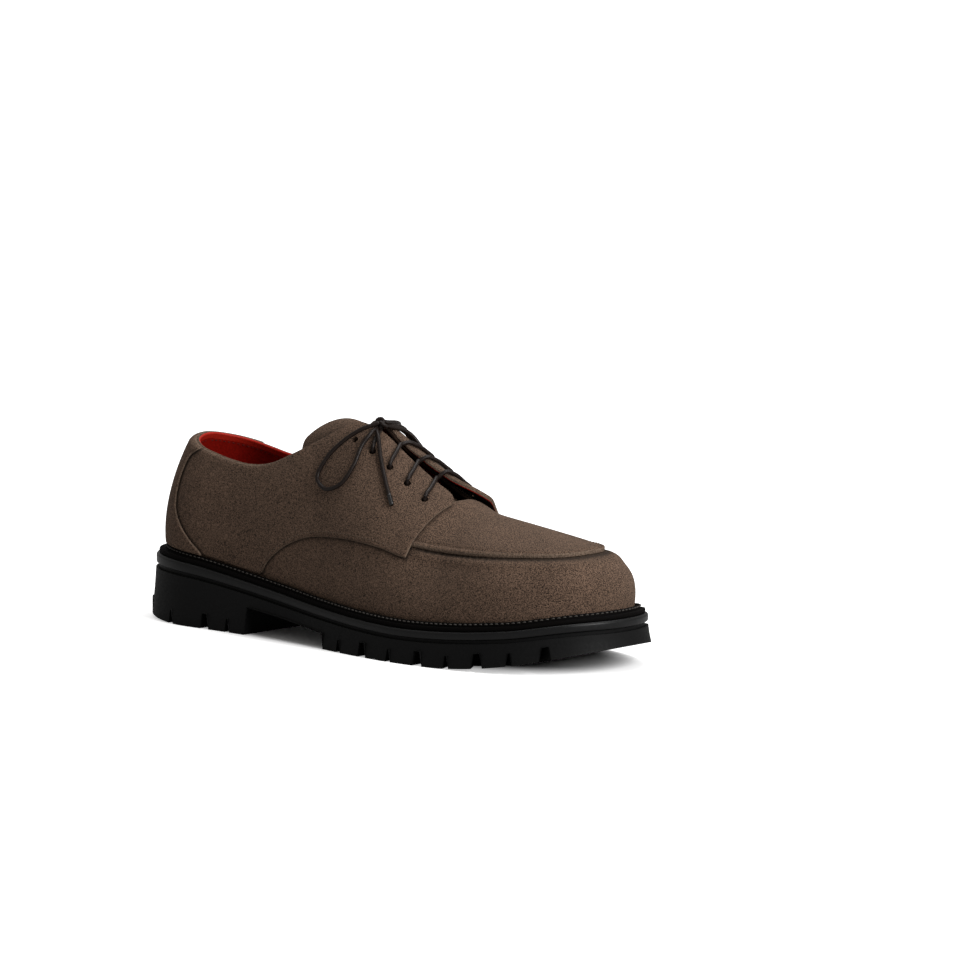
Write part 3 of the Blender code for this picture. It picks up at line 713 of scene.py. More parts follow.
SUEDE_EDGE = plain_finish("suede_edge", (0.125, 0.088, 0.064), 0.5, 1500.0, 120.0, 0.2, 0.4, 0.9, 1.0, 0.08)
# Dark suede of a cut edge, also laid as painted shade: under the panels' edges, under the quarters and inside
# the vamp.
SUEDE_CUT_AND_SHADE = plain_finish("suede_cut_and_shade", (0.022, 0.013, 0.009), 0.4, 1800.0, 120.0, 0.2, 0.3, 0.9, 1.0, 0.05)
LINING = plain_finish("lining", (0.18, 0.0045, 0.0018), 0.25, 900.0, 90.0, 0.4, 0.12, 0.45, 0.6, 0.1)
LINING_BAND = plain_finish("lining_band", (0.32, 0.013, 0.006), 0.2, 900.0, 90.0, 0.4, 0.12, 0.42, 0.55, 0.12)
RUBBER = plain_finish("rubber", (0.0032, 0.0032, 0.0033), 0.3, 700.0, 40.0, 0.5, 0.08, 0.5, 0.7, 0.11)
BAND = plain_finish("band_rubber", (0.0042, 0.0042, 0.0044), 0.25, 900.0, 60.0, 0.5, 0.05, 0.32, 0.48, 0.2)
WELT = plain_finish("welt", (0.0016, 0.0012, 0.0011), 0.3, 800.0, 50.0, 0.5, 0.06, 0.7, 0.9, 0.05)
LACE = plain_finish("lace", (0.0105, 0.0064, 0.0050), 0.5, 2200.0, 300.0, 0.2, 0.12, 0.3, 0.45, 0.17)
AGLET = plain_finish("aglet", (0.004, 0.003, 0.0028), 0.2, 900.0, 200.0, 0.5, 0.02, 0.18, 0.26, 0.5)
THREAD = plain_finish("thread", (0.120, 0.086, 0.062), 0.3, 3000.0, 200.0, 0.2, 0.1, 0.6, 0.8, 0.2)
DARK_THREAD = plain_finish("dark_thread", (0.016, 0.010, 0.007), 0.3, 3000.0, 200.0, 0.2, 0.1, 0.6, 0.8, 0.2)
WELT_THREAD = plain_finish("welt_thread", (0.038, 0.033, 0.029), 0.3, 3000.0, 200.0, 0.2, 0.1, 0.5, 0.7, 0.3)
RED_THREAD = plain_finish("red_thread", (0.07, 0.005, 0.003), 0.3, 3000.0, 200.0, 0.2, 0.1, 0.5, 0.7, 0.25)
print("finishes:", len(bpy.data.materials))

# %% [markdown]
# ## The outsole
# The outsole is one moulding: a heel block and a forefoot with an arch between them, lugs round the edge, a
# channel behind the lugs and grooves across the middle. It could be carved with Booleans, but one grid that
# runs from the middle of the tread out to the edge, up the side and in over the top does it with clean
# quads.

# %% Sizes of the tread
GROOVE_DEPTH = 1.8
BREAST_X = 86.0
ARCH_FRONT_X = 145.0
BREAST_HEIGHT = 14.6
BREAST_LEAN = 2.0
ARCH_FRONT_HEIGHT = 8.0
FLARE_TURN_HEIGHT = 0.6
FLARE_TURN_SHARE = 0.3
CHANNEL_INSET = 15.5
CHANNEL_WIDTH = 4.0
CHANNEL_DEPTH = 6.0
CHANNEL_LIP = 1.0
CHANNEL_HEEL_END = 70.0
CHANNEL_FORE_START = 150.0
CROSS_GROOVE_HALF = 1.8
CROSS_GROOVE_DEPTH = 5.0
CROSS_GROOVES = np.array([24.0, 46.0, 66.0, 165.0, 184.5, 203.5, 222.0, 240.0, 257.0])
NOTCH_MARGIN = 0.5
NOTCHES = table(
    "station foot crown height",
    (16.0, 5.0, 3.2, 8.0),
    (36.0, 2.4, 0.8, 7.0),
    (57.0, 5.0, 3.2, 8.0),
    (73.0, 2.4, 0.8, 7.0),
    (157.5, 2.4, 0.8, 6.5),
    (176.0, 5.0, 3.2, 7.5),
    (195.0, 2.4, 0.8, 6.5),
    (214.0, 5.0, 3.2, 7.5),
    (231.5, 2.4, 0.8, 6.5),
    (247.0, 5.0, 3.2, 7.5),
    (260.0, 2.4, 0.8, 6.5),
    (272.0, 5.0, 3.2, 7.0),
)
print("tread:", len(NOTCHES["station"]), "notches a side,", len(CROSS_GROOVES), "cross grooves")

# %% [markdown]
# The underside is a height over the plan. A notch is a trapezoid along the edge, the channel a step at a
# fixed distance from it, and the arch a roof between two leaning walls. The highest of them wins at each
# point.

# %% Heights of the tread


def edge_rate(station):
    """Millimetres along the sole's edge for each unit of station."""
    ends = [np.stack(plan(s, LATERAL, reach(s, LATERAL)), -1) for s in (station - 0.5, station + 0.5)]
    return np.linalg.norm(ends[1] - ends[0], axis=-1)


NOTCH_FOOT = (NOTCHES["foot"] / 2 + NOTCH_MARGIN) / edge_rate(NOTCHES["station"])
NOTCH_CROWN = NOTCHES["crown"] / 2 / edge_rate(NOTCHES["station"])


def notch_height(station):
    """Height of the side notches along the edge: a trapezoid about each notch's station."""
    off = abs(station[:, None] - NOTCHES["station"])
    share = np.clip((NOTCH_FOOT - off) / (NOTCH_FOOT - NOTCH_CROWN), 0, 1)
    return (share * NOTCHES["height"]).max(axis=1)


def arch_height(x):
    """Height of the arch's roof between the heel breast and the forefoot, with leaning walls."""
    roof = np.interp(x, [BREAST_X, ARCH_FRONT_X], [BREAST_HEIGHT, ARCH_FRONT_HEIGHT])
    into = np.minimum((x - BREAST_X) / BREAST_LEAN + 0.5, (ARCH_FRONT_X - x) / BREAST_LEAN * 2)
    return roof * np.clip(into, 0, 1)


def underside(station, side, inward):
    """Height of the tread some way in from the edge: the highest of tread, arch, notches and channel."""
    x = plan(station, side, reach(station, side) + SOLE_FLARE - inward)[0]
    raised = np.where(inward < CHANNEL_INSET - CHANNEL_LIP, notch_height(station), 0.0)
    channelled = (station < CHANNEL_HEEL_END) | (station > CHANNEL_FORE_START)
    in_channel = (inward > CHANNEL_INSET) & (inward < CHANNEL_INSET + CHANNEL_WIDTH)
    raised = np.maximum(raised, CHANNEL_DEPTH * (in_channel & channelled))
    return np.maximum(tread(x) + raised, arch_height(x))


def middle_relief(x):
    """Height of the tread's middle: its own line, with grooves across it, or the arch's roof."""
    near = abs(x[..., None] - CROSS_GROOVES).min(axis=-1)
    grooved = tread(x) + CROSS_GROOVE_DEPTH * (near < CROSS_GROOVE_HALF)
    return np.maximum(grooved, arch_height(x))


print("notches: up to", NOTCHES["height"].max(), "mm high")

# %% [markdown]
# The grid gets extra columns exactly at the corners of notches, arch and channel, so that they stay sharp.
# Its rows run out under the tread, up the flared side and into the groove below the band. Two patches from
# side to side close it.

# %% Outsole
STEP = 0.05
TREAD_STATIONS = 400
TREAD_ROWS = 14
ROOF_ROWS = 4
SIDE_SHARES = (0.03, 0.15, 0.3, 0.45, 0.6, 0.75, 0.9, 1.0)
PLATE_EDGE = 0.15
OUTSOLE_CREASE = 28
corners = [NOTCHES["station"] + sign * half for sign in (-1, 1) for half in (NOTCH_FOOT, NOTCH_CROWN)]
corners.append([BREAST_X - BREAST_LEAN / 2, BREAST_X + BREAST_LEAN / 2])
corners.append([ARCH_FRONT_X - BREAST_LEAN / 2, ARCH_FRONT_X])
corners.append([CHANNEL_HEEL_END - 0.1, CHANNEL_HEEL_END, CHANNEL_FORE_START, CHANNEL_FORE_START + 0.1])
even = np.linspace(0, LENGTH, TREAD_STATIONS)
TREAD_COLUMNS = np.unique(np.round(np.concatenate([even, *corners]), 3))
CHANNEL_EDGES = np.array([CHANNEL_INSET + CHANNEL_WIDTH, CHANNEL_INSET, CHANNEL_INSET - CHANNEL_LIP])
INWARD = np.concatenate([(CHANNEL_EDGES[:, None] + [STEP, -STEP]).ravel(), [10.0, 5.0, 1.0, 0.0]])

station, side = around(TREAD_COLUMNS)
rows = []
for inward in INWARD:
    x, y = plan(station, side, reach(station, side) + SOLE_FLARE - inward)
    rows.append(np.stack([x, y, underside(station, side, np.full(station.shape, inward))], -1))
edge_x = plan(station, side, reach(station, side))[0]
low = rows[-1][:, 2]
high = plate_top(edge_x)
for share in SIDE_SHARES:
    z = low + share * (high - low)
    level = (z - tread(edge_x)) / (high - tread(edge_x))
    flare = SOLE_FLARE * np.interp(level, [0, FLARE_TURN_HEIGHT, 1], [1, FLARE_TURN_SHARE, 0])
    x, y = plan(station, side, reach(station, side) + flare)
    rows.append(np.stack([x, y, z], -1))


def under_band(x):
    """Top of the outsole: just below the groove's upper edge."""
    return groove_top(x) - GAP


for offset, line in ((-PLATE_EDGE, plate_top), (-GROOVE_DEPTH, plate_top), (-GROOVE_DEPTH, under_band)):
    rows.append(ring(TREAD_COLUMNS, offset, line))
side_grid = np.stack(rows, axis=1)


def across(closed_ring, count):
    """A patch across a ring, outer to inner side: straight lines between points of the same station."""
    lateral = np.arange(len(closed_ring) // 2 + 1)
    medial = (len(closed_ring) - lateral) % len(closed_ring)
    share = np.linspace(0, 1, count)[None, :, None]
    return closed_ring[lateral][:, None] * (1 - share) + closed_ring[medial][:, None] * share


tread_patch = across(side_grid[:, 0], TREAD_ROWS)
tread_patch[:, 1:-1, 2] = middle_relief(tread_patch[:, 1:-1, 0])
roof_patch = across(side_grid[:, -1], ROOF_ROWS)
roof_patch[:, 1:-1, 2] = under_band(roof_patch[:, 1:-1, 0])
patches = [(side_grid, grid_faces(*side_grid.shape[:2], wrap=True))]
patches += [(patch, grid_faces(*patch.shape[:2])) for patch in (tread_patch, roof_patch)]
outsole = build("outsole_fine", *joined(patches), [RUBBER], outward=True, crease=OUTSOLE_CREASE)
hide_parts("outsole")
print("outsole:", len(outsole.data.polygons), "faces")

# %% [markdown]
# ## Midsole band and welt
# Above a dark groove runs a smooth band with a rounded top edge, and on it a black welt whose stitched rib
# stands against the suede. Each is a profile carried round the shoe: a few offsets and heights, turned into
# rings.

# %% Midsole band
RING_COLUMNS = np.linspace(0, LENGTH, 331)
CAP_ROWS = 8
CAPPED_CREASE = 50
BAND_SETBACK = 0.2
BAND_ROUND = 1.5
ROUND_STEPS = 7
BAND_FOOT = table(
    "setback rise",
    (0.6, 0.0),
    (0.3, 0.25),
    (BAND_SETBACK, 0.8),
)


def capped(name, rings, finish):
    """A closed solid from rings, lowest first, with flat patches across its foot and top."""
    grid = np.stack(rings, axis=1)
    patches = [(grid, grid_faces(*grid.shape[:2], wrap=True))]
    for row in (0, -1):
        patch = across(grid[:, row], CAP_ROWS)
        patches.append((patch, grid_faces(*patch.shape[:2])))
    return build(name, *joined(patches), [finish], outward=True, crease=CAPPED_CREASE)


def over_groove(rise):
    """A height above the groove, for a ring."""
    return lambda x: groove_top(x) + rise


def over_band(rise):
    """A height above the band, for a ring."""
    return lambda x: band_top(x) + rise


foot_rows = zip(BAND_FOOT["setback"], BAND_FOOT["rise"])
band_rings = [ring(RING_COLUMNS, -setback, over_groove(rise)) for setback, rise in foot_rows]
for angle in np.linspace(0, math.pi / 2, ROUND_STEPS):
    setback = BAND_SETBACK + BAND_ROUND * (1 - math.cos(angle))
    band_rings.append(ring(RING_COLUMNS, -setback, over_band(-BAND_ROUND * (1 - math.sin(angle)))))
midsole = capped("midsole_fine", band_rings, BAND)
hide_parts("midsole")
print("midsole:", len(midsole.data.polygons), "faces")

# %% [markdown]
# The welt's profile is a closed loop of rows. Some rows keep their distance from the sole's edge and some
# from the feather edge, where the upper meets the sole, so the rib follows the suede and the outer edge
# follows the sole.

# %% Welt
WELT_SETBACK = 1.7
WELT_TUCK = 4.0
RIB_HEIGHT = 2.4
RIB_WIDTH = 1.3
RIB_START = 1.7
RIB_ROUND = 0.6
WELT_CREASE = 40
WELT_TOP = GAP + WELT_THICKNESS
RIB_TOP = WELT_THICKNESS + RIB_HEIGHT
angle = np.linspace(0, math.pi, ROUND_STEPS)
rib_offset = RIB_START + RIB_WIDTH / 2 + RIB_WIDTH / 2 * np.cos(angle)
rib_rise = RIB_TOP - RIB_ROUND + RIB_ROUND * np.sin(angle)
WELT_PROFILE = table(
    "feather offset rise",
    (1, -WELT_TUCK, GAP),
    (0, -WELT_SETBACK - 0.2, GAP),
    (0, -WELT_SETBACK, GAP + 0.3),
    (0, -WELT_SETBACK, WELT_TOP - 0.6),
    (0, -WELT_SETBACK - 0.2, WELT_TOP - 0.15),
    (0, -WELT_SETBACK - 0.6, WELT_TOP),
    (1, RIB_START + RIB_WIDTH + 0.25, WELT_TOP),
    *[(1, offset, rise) for offset, rise in zip(rib_offset, rib_rise)],
    (1, RIB_START - 0.2, WELT_TOP),
    (1, -WELT_TUCK, WELT_TOP),
)


def profile_rings(profile):
    """A ring round the shoe for each row of a profile: its offset, and its rise over the band."""
    rows = zip(profile["feather"], profile["offset"], profile["rise"])
    return [ring(RING_COLUMNS, offset, over_band(rise), feather) for feather, offset, rise in rows]


welt_rings = profile_rings(WELT_PROFILE)
welt_grid = np.stack(welt_rings + welt_rings[:1], axis=1)
welt_faces = grid_faces(*welt_grid.shape[:2], wrap=True)
welt = build("welt_fine", welt_grid.reshape(-1, 3), welt_faces, [WELT], outward=True, crease=WELT_CREASE)
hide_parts("welt")
print("welt:", len(welt.data.polygons), "faces")

# %% [markdown]
# ## The upper
# Under the sewn-on panels the upper is one hollow wall: suede outside, red leather inside, open at the
# collar and the throat. The lines of its edges and seams come from short tables of heights, half-widths and
# stations. Its few soft hollows are listed as shallow bell curves, and the gathers below the
# apron's seam are a ripple that fades downwards.

# %% Tables of the upper
WALL = 2.0
OVERLAY_LIFT = 0.45
OVERLAY = 1.3
STRIP = 1.0
STRIP_LIFT = 2 * OVERLAY_LIFT + OVERLAY + GAP / 2
VAMP_BACK = 201.0
FACING_FRONT = 193.5
FACING_SLANT = 5.0
SLANT_LENGTH = 30.0
COLLAR_END = 134.0
MEDIAL_DROP = 1.5
RIB_CLEAR = 2.7
COLLAR = table(
    "station height",
    (0, 97.0),
    (22, 95.2),
    (45, 91.0),
    (60, 88.0),
    (76, 86.5),
    (88, 88.2),
    (101, 94.2),
    (118, 103.4),
    (134, 112.0),
)
THROAT = table(
    "x lateral medial",
    (134, 6.5, 6.4),
    (150, 4.0, 1.8),
    (170, 4.0, 0.8),
    (186, 4.2, 2.4),
    (201, 4.5, 4.5),
)
QUARTER_EDGE = table(
    "station height",
    (88, 29.0),
    (94, 37.0),
    (103, 45.0),
    (118, 52.5),
    (140, 56.0),
    (155, 56.3),
    (176, 54.5),
    (194, 51.0),
)
APRON_SEAM = table(
    "station height",
    (194, 56.3),
    (206, 55.0),
    (213, 54.7),
    (232, 55.0),
    (258, 55.6),
    (285, 56.4),
    (302, 56.8),
)
BACK_STRIP = table(
    "height station",
    (36, 49.0),
    (44, 42.0),
    (51, 36.0),
    (60, 30.5),
    (72, 29.0),
    (82, 30.0),
    (90, 33.0),
    (97, 40.0),
)
HOLLOWS = table(
    "station height length rise depth",
    (70, 62, 26, 16, 0.9),
    (118, 70, 16, 22, 0.6),
    (172, 44, 14, 10, 0.7),
    (206, 40, 12, 10, 0.5),
    (236, 38, 16, 9, 0.35),
)
print("collar:", COLLAR["height"].min(), "to", COLLAR["height"].max(), "mm high")

# %% [markdown]
# The functions below turn those tables into rises on the last. The facings lean forwards and end in a
# rounded corner, and the inner one is a loose flap that stands off a little, so columns near the throat are
# bent to suit.

# %% Lines of the upper
CORNER = {LATERAL: 7.0, MEDIAL: 11.0}
FLAP_START = 150.0
FLAP_FULL = 188.0
FLAP_RISE = 3.2
FLAP_REACH = 10.0
FLAP_CUT = 8.0
LEAN_ROUNDS = 20


def hollow(station, height):
    """Depth of the hand-placed hollows: a sum of bell curves of station and height."""
    s = (station[..., None] - HOLLOWS["station"]) / HOLLOWS["length"]
    h = (height[..., None] - HOLLOWS["height"]) / HOLLOWS["rise"]
    return (HOLLOWS["depth"] * np.exp(-s * s - h * h)).sum(axis=-1)


def throat_half(station, side):
    """Half-width of the throat: the inner facing comes closer to the middle than the outer one."""
    lateral = smooth(THROAT, "x", "lateral", station)
    return np.where(np.asarray(side) < 0, lateral, smooth(THROAT, "x", "medial", station))


def collar(station, side):
    """Rise where the upper ends: at the collar, then along the throat, and closed over the vamp."""
    station, side = np.broadcast_arrays(station, side)
    along = np.clip(station / COLLAR_END, 0, 1)
    height = smooth(COLLAR, "station", "height", station)
    height = height - np.where(side > 0, MEDIAL_DROP, 0.0) * np.sin(math.pi * along)
    rim = at_height(station, side, height)
    throat = at_half(np.maximum(station, COLLAR_END), side, throat_half(station, side))
    return np.where(station >= VAMP_BACK, 1.0, np.where(station <= COLLAR_END, rim, throat))


def facing_lean(column):
    """Forward lean of a quarter's columns near its facing, growing with the square towards the front."""
    return FACING_SLANT * np.clip(1 - (FACING_FRONT - column) / SLANT_LENGTH, 0, 1) ** 2


def corner_bend(column, side):
    """How far the facing's rounded front corner drops from the throat: a quarter circle of the column."""
    radius = CORNER[side]
    into = np.clip(column - (FACING_FRONT - radius), 0, radius)
    return radius - np.sqrt(radius**2 - into**2)


def flap(column):
    """Share of the loose inner facing: none at the collar, all of it at the front, a smooth step between."""
    return gentle((column - FLAP_START) / (FLAP_FULL - FLAP_START))


def opening(station, side):
    """Rise where the wall itself ends: as the collar, but along the throat it follows the facing's corner."""
    column = np.array(station, float)
    for _ in range(LEAN_ROUNDS):
        column = station - facing_lean(column)
    inner_bend = corner_bend(column, MEDIAL) + FLAP_CUT * flap(column)
    bend = np.where(side < 0, corner_bend(column, LATERAL), inner_bend)
    half = throat_half(station, side) + bend
    throat = at_half(np.maximum(station, COLLAR_END), side, half)
    return np.where((station > COLLAR_END) & (station < VAMP_BACK), throat, collar(station, side))


def rib_line(station, side):
    """Height just above the welt's rib, where the outer panels start."""
    return section(station, np.zeros(np.shape(station)), side)[1] + RIB_CLEAR


def quarter_top(column, station, side):
    """Rise of the quarter's upper edge: collar and throat, with a quarter circle at the facing's front."""
    bend = corner_bend(column, side)
    corner = at_half(np.maximum(station, COLLAR_END), side, throat_half(station, side) + bend)
    return np.where(bend > 0, corner, collar(station, side))


def quarter_foot(station, side):
    """Rise of the quarter's lower edge: the rib line by the heel, then the arch up to the front corner."""
    line = rib_line(station, side)
    arch = np.maximum(line, smooth(QUARTER_EDGE, "station", "height", station))
    return at_height(station, side, np.where(station > QUARTER_EDGE["station"][0], arch, line))


def panel(column, level, side):
    """Stations and rises of a quarter: columns lean forwards near the facing, rows run from foot to top."""
    S = column[:, None] + facing_lean(column)[:, None] * level[None, :]
    C = np.broadcast_to(column[:, None], S.shape)
    low = quarter_foot(S, side)
    high = quarter_top(C, S, side)
    return S, low + level[None, :] * (high - low)


print("opening: rise", round(float(opening(np.array([COLLAR_END]), LATERAL)[0]), 3), "at the collar's end")

# %% [markdown]
# The wall starts as a grid on the last: a column for each station, and rows from the feather edge to the
# opening. The rows follow a softened copy of the opening, so that its corners don't run down the whole
# wall. Then the skin is moved along its normal by the hollows, by a groove below the apron's seam and by
# the gathers that its thread pulls in.

# %% Skin of the wall
UPPER_STATIONS = 230
UPPER_ROWS = 96
ROW_POWER = 1.4
ROW_SOFTENING = 17
CORNER_POWER = 8
GATHER_ROW = 20
GATHER_PITCH = 4.6
GATHER_DEPTH = 0.28
GATHER_FADE = 3.5
FRONT_FADE = 6.0
SEAM_REACH = 2.0
SEAM_CUT = {"depth": 0.45, "at": 0.3, "width": 0.7}
SEAM_SWELL = {"depth": 1.25, "at": 2.7, "width": 2.3}


def dent(distance, depth, at, width):
    """A depth along a line: a bell curve of the distance from the line, about a place beside it."""
    return depth * bell(distance - at, width)


marked = [VAMP_BACK - 0.3, VAMP_BACK, COLLAR_END]
UPPER_COLUMNS = np.unique(np.concatenate([np.linspace(0, LENGTH, UPPER_STATIONS), marked]))
station, side = around(UPPER_COLUMNS)
end = opening(station, side)
level = 1 - (1 - np.linspace(0, 1, UPPER_ROWS)) ** ROW_POWER
padded = np.pad(end, ROW_SOFTENING // 2, mode="wrap")
broad = np.convolve(padded, np.full(ROW_SOFTENING, 1 / ROW_SOFTENING), mode="valid")
rise = level[None, :] * broad[:, None] + (end - broad)[:, None] * level[None, :] ** CORNER_POWER
S = np.broadcast_to(station[:, None], rise.shape)
SIDE = np.broadcast_to(side[:, None], rise.shape)
skin = last(S, rise, SIDE)
below_seam = smooth(APRON_SEAM, "station", "height", S) - skin[..., 2]
in_front = np.clip((S - FACING_FRONT) / FRONT_FADE, 0, 1)
arc = run_along(skin[:, GATHER_ROW])[:, None]
fade = np.exp(-np.maximum(below_seam, 0) / GATHER_FADE)
gather = GATHER_DEPTH * np.cos(2 * math.pi * arc / GATHER_PITCH) * fade
groove = dent(below_seam, **SEAM_CUT) - dent(below_seam, **SEAM_SWELL)
sunk = hollow(S, skin[..., 2])
outer = lifted(S, rise, SIDE, -sunk + in_front * (gather - groove) * (below_seam > -SEAM_REACH))
inner = lifted(S, rise, SIDE, -WALL - sunk)
print("wall:", len(station), "columns, deepest hollow", round(float(sunk.max()), 2), "mm")

# %% [markdown]
# Under the edge of a sewn-on panel the suede is in shade. The lines of those edges are worked out on the
# last, and each point of the wall gets a share of shade by its distance to them. An ambient occlusion node
# could do this in a render, but an attribute on the mesh is the same from every side.

# %% Shade of the seams
PANEL_SHADE = 0.9
PANEL_SHADE_WIDTH = 0.95
FACING_SHADE = 0.6
FACING_SHADE_WIDTH = 1.2
SEAM_SHADE = {"depth": 0.85, "at": 0.6, "width": 1.1}
foot_lines = []
facing_lines = []
for way in (LATERAL, MEDIAL):
    foot_columns = np.linspace(QUARTER_EDGE["station"][0], FACING_FRONT, 300)
    foot_station, foot_rise = panel(foot_columns, np.array([0.0]), way)
    front_station, front_rise = panel(np.array([FACING_FRONT]), np.linspace(0, 1, 120), way)
    foot_lines.append(last(foot_station.ravel(), foot_rise.ravel(), way))
    facing_lines.append(last(front_station.ravel(), front_rise.ravel(), way))
facing_lines = np.concatenate(facing_lines)
seam_shade = PANEL_SHADE * nearness(outer, np.concatenate(foot_lines), PANEL_SHADE_WIDTH)
seam_shade = np.maximum(seam_shade, FACING_SHADE * nearness(outer, facing_lines, FACING_SHADE_WIDTH))
seam_shade = np.maximum(seam_shade, in_front * dent(below_seam, **SEAM_SHADE))
print("seam shade: up to", round(float(seam_shade.max()), 2))

# %% [markdown]
# The wall is closed by a rounded rim over its open edge and a strip under its foot. The lining shows a
# lighter band just below the collar, and behind the facings the rim turns from suede to that red on its
# inner half. From the middle of the throat forwards the lining is painted dark, a painted shade for the deep
# inside of the shoe, and the rim along the throat is dark too: its cut edge with painted shade.

# %% Upper
BAND_WIDTH = 2.9
RED_RIM_END = 108.0
PAINTED_SHADE_START = 166.0
RIM_ROUND = 0.7
RIM_SUEDE_ROWS = 3
FAR = 99.0
RIM_TURN = np.linspace(0, math.pi, 7)[1:-1]
ON_SUEDE, ON_LINING, ON_CUT_AND_SHADE, ON_BAND = range(4)
to_rim = run_along(inner[:, ::-1], 1) + FAR * (station > COLLAR_END)[:, None]
middle = (outer[:, -1] + inner[:, -1]) / 2
spread = (outer[:, -1] - inner[:, -1]) / 2
step_up = outer[:, -1] - outer[:, -2]
step_up /= np.maximum(np.linalg.norm(step_up, axis=-1, keepdims=True), 1e-9)
bulge = RIM_ROUND * np.sin(RIM_TURN)[None, :, None] * (station < VAMP_BACK)[:, None, None]
rim = middle[:, None] + spread[:, None] * np.cos(RIM_TURN)[None, :, None] + step_up[:, None] * bulge
rim = np.concatenate([outer[:, -1:], rim, inner[:, -1:]], axis=1)
foot = np.stack([inner[:, 0], outer[:, 0]], axis=1)
open_column = station < VAMP_BACK - 0.1
patches = []
finish_of = []
for word, grid in (("outside", outer), ("inside", inner[:, ::-1]), ("rim", rim), ("foot", foot)):
    quads = grid_faces(*grid.shape[:2], wrap=True)
    column, row = np.divmod(quads[:, 0], grid.shape[1])
    finish = np.full(len(quads), ON_LINING if word == "foot" else ON_SUEDE)
    if word == "inside":
        finish = np.where(to_rim.reshape(-1)[quads].max(axis=1) < BAND_WIDTH, ON_BAND, ON_LINING)
        # From the throat's middle forwards the inside is painted dark: painted shade deep in the shoe.
        finish[station[column] > PAINTED_SHADE_START] = ON_CUT_AND_SHADE
    if word == "rim":
        finish = np.where((row < RIM_SUEDE_ROWS) | (station[column] > RED_RIM_END), ON_SUEDE, ON_BAND)
        # The rim along the throat is dark: its cut edge with painted shade.
        finish[station[column] > COLLAR_END] = ON_CUT_AND_SHADE
        keep = open_column[column] | open_column[(column + 1) % len(station)]
        quads = quads[keep]
        finish = finish[keep]
    patches.append((grid, quads))
    finish_of.append(finish)
points, faces = joined(patches)
upper = build(
    "upper_fine",
    points,
    faces,
    [SUEDE, LINING, SUEDE_CUT_AND_SHADE, LINING_BAND],
    np.concatenate(finish_of),
    # The seam attribute: painted shade under the quarters' lower edges, the facings' fronts and the apron's
    # seam.
    seam=np.concatenate([seam_shade.ravel(), np.zeros(len(points) - seam_shade.size)]),
)
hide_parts("upper")
print("upper:", len(upper.data.polygons), "faces")

# %% [markdown]
# ## Lace holes
# Five round holes are punched through each facing, and through the wall behind it. A grid can't show a
# round hole, so this is the one place where a Boolean is used: small cylinders, square to the skin, are cut
# out of the panels.

# %% Lace holes
EYELET_RADIUS = 1.9
EYELET_HALF = 18.0
EYELET_TAPER = 0.75
EYELET_FIRST = 187.0
EYELET_PITCH = 12.1
EYELET_PAIRS = 5
PUNCH_LENGTH = 16.0
PUNCH_SIDES = 20
PUNCH_CREASE = 50


def punch(target, places):
    """Round holes through a piece: each place is a point and a direction, in millimetres."""
    cutter = bmesh.new()
    radius = EYELET_RADIUS * MM
    for point, axis in places:
        turned = Vector(axis).to_track_quat("Z", "Y").to_matrix().to_4x4()
        turned.translation = Vector(place(point))
        bmesh.ops.create_cone(
            cutter,
            cap_ends=True,
            segments=PUNCH_SIDES,
            radius1=radius,
            radius2=radius,
            depth=PUNCH_LENGTH * MM,
            matrix=turned,
        )
    data = bpy.data.meshes.new("punch")
    cutter.to_mesh(data)
    cutter.free()
    tool = bpy.data.objects.new("punch", data)
    scene.collection.objects.link(tool)
    hole = target.modifiers.new("holes", "BOOLEAN")
    hole.operation = "DIFFERENCE"
    hole.solver = "EXACT"
    hole.object = tool
    bpy.context.view_layer.update()
    cut = bpy.data.meshes.new_from_object(target.evaluated_get(bpy.context.evaluated_depsgraph_get()))
    target.modifiers.clear()
    old = target.data
    target.data = cut
    bpy.data.meshes.remove(old)
    bpy.data.objects.remove(tool)
    cut.set_sharp_from_angle(angle=math.radians(PUNCH_CREASE))


def eyelet_places(side):
    """Centre and direction of each lace hole on one facing."""
    pair = np.arange(EYELET_PAIRS)
    station = EYELET_FIRST - pair * EYELET_PITCH
    v = at_half(station, side, EYELET_HALF - EYELET_TAPER * pair)
    low = lifted(station, v, side, -1.0)
    high = lifted(station, v, side, 1.0)
    return list(zip((low + high) / 2, high - low))


punch(upper, eyelet_places(LATERAL) + eyelet_places(MEDIAL))
print("upper with lace holes:", len(upper.data.polygons), "faces")

# %% [markdown]
# ## Quarters and back strip
# The quarters are the two side panels that lace over the instep. Each is cut with an arched lower edge,
# runs up to the collar and ends in a facing with a rounded front corner. The back strip covers the seam
# where they meet at the heel. All are slabs of suede over the upper's own surface, so one function gives
# their points and only the lift differs.

# %% Quarters
EDGE_ROUND = 1.1
COLLAR_ROLL = 2.6
FRONT_RISE = 1.5
FRONT_REACH = 9.0
FRONT_RISE_FROM = 50.0
FRONT_RISE_OVER = 10.0
QUARTER_START = 0.25
FLAP_THICKER = 1.0
PANEL_SINK = 0.05


def from_top(grid):
    """Distance of each point of a grid down its own line from the top edge."""
    return run_along(grid[:, ::-1], 1)[:, ::-1]


def strip_grid():
    """Stations, sides and rises of the back strip: rows from the rib line up, columns from side to side."""
    share = eased(56)
    height = BACK_STRIP["height"][0] + share * np.ptp(BACK_STRIP["height"])
    reach_back = smooth(BACK_STRIP, "height", "station", height)
    k = -1 + 2 * eased(72)
    S = abs(k)[:, None] * reach_back[None, :]
    SIDE = np.where(k < 0, MEDIAL, LATERAL)[:, None] * np.ones(S.shape)
    foot_rise = at_height(S, SIDE, rib_line(S, SIDE))
    return S, SIDE, foot_rise + share[None, :] * (collar(S, SIDE) - foot_rise)


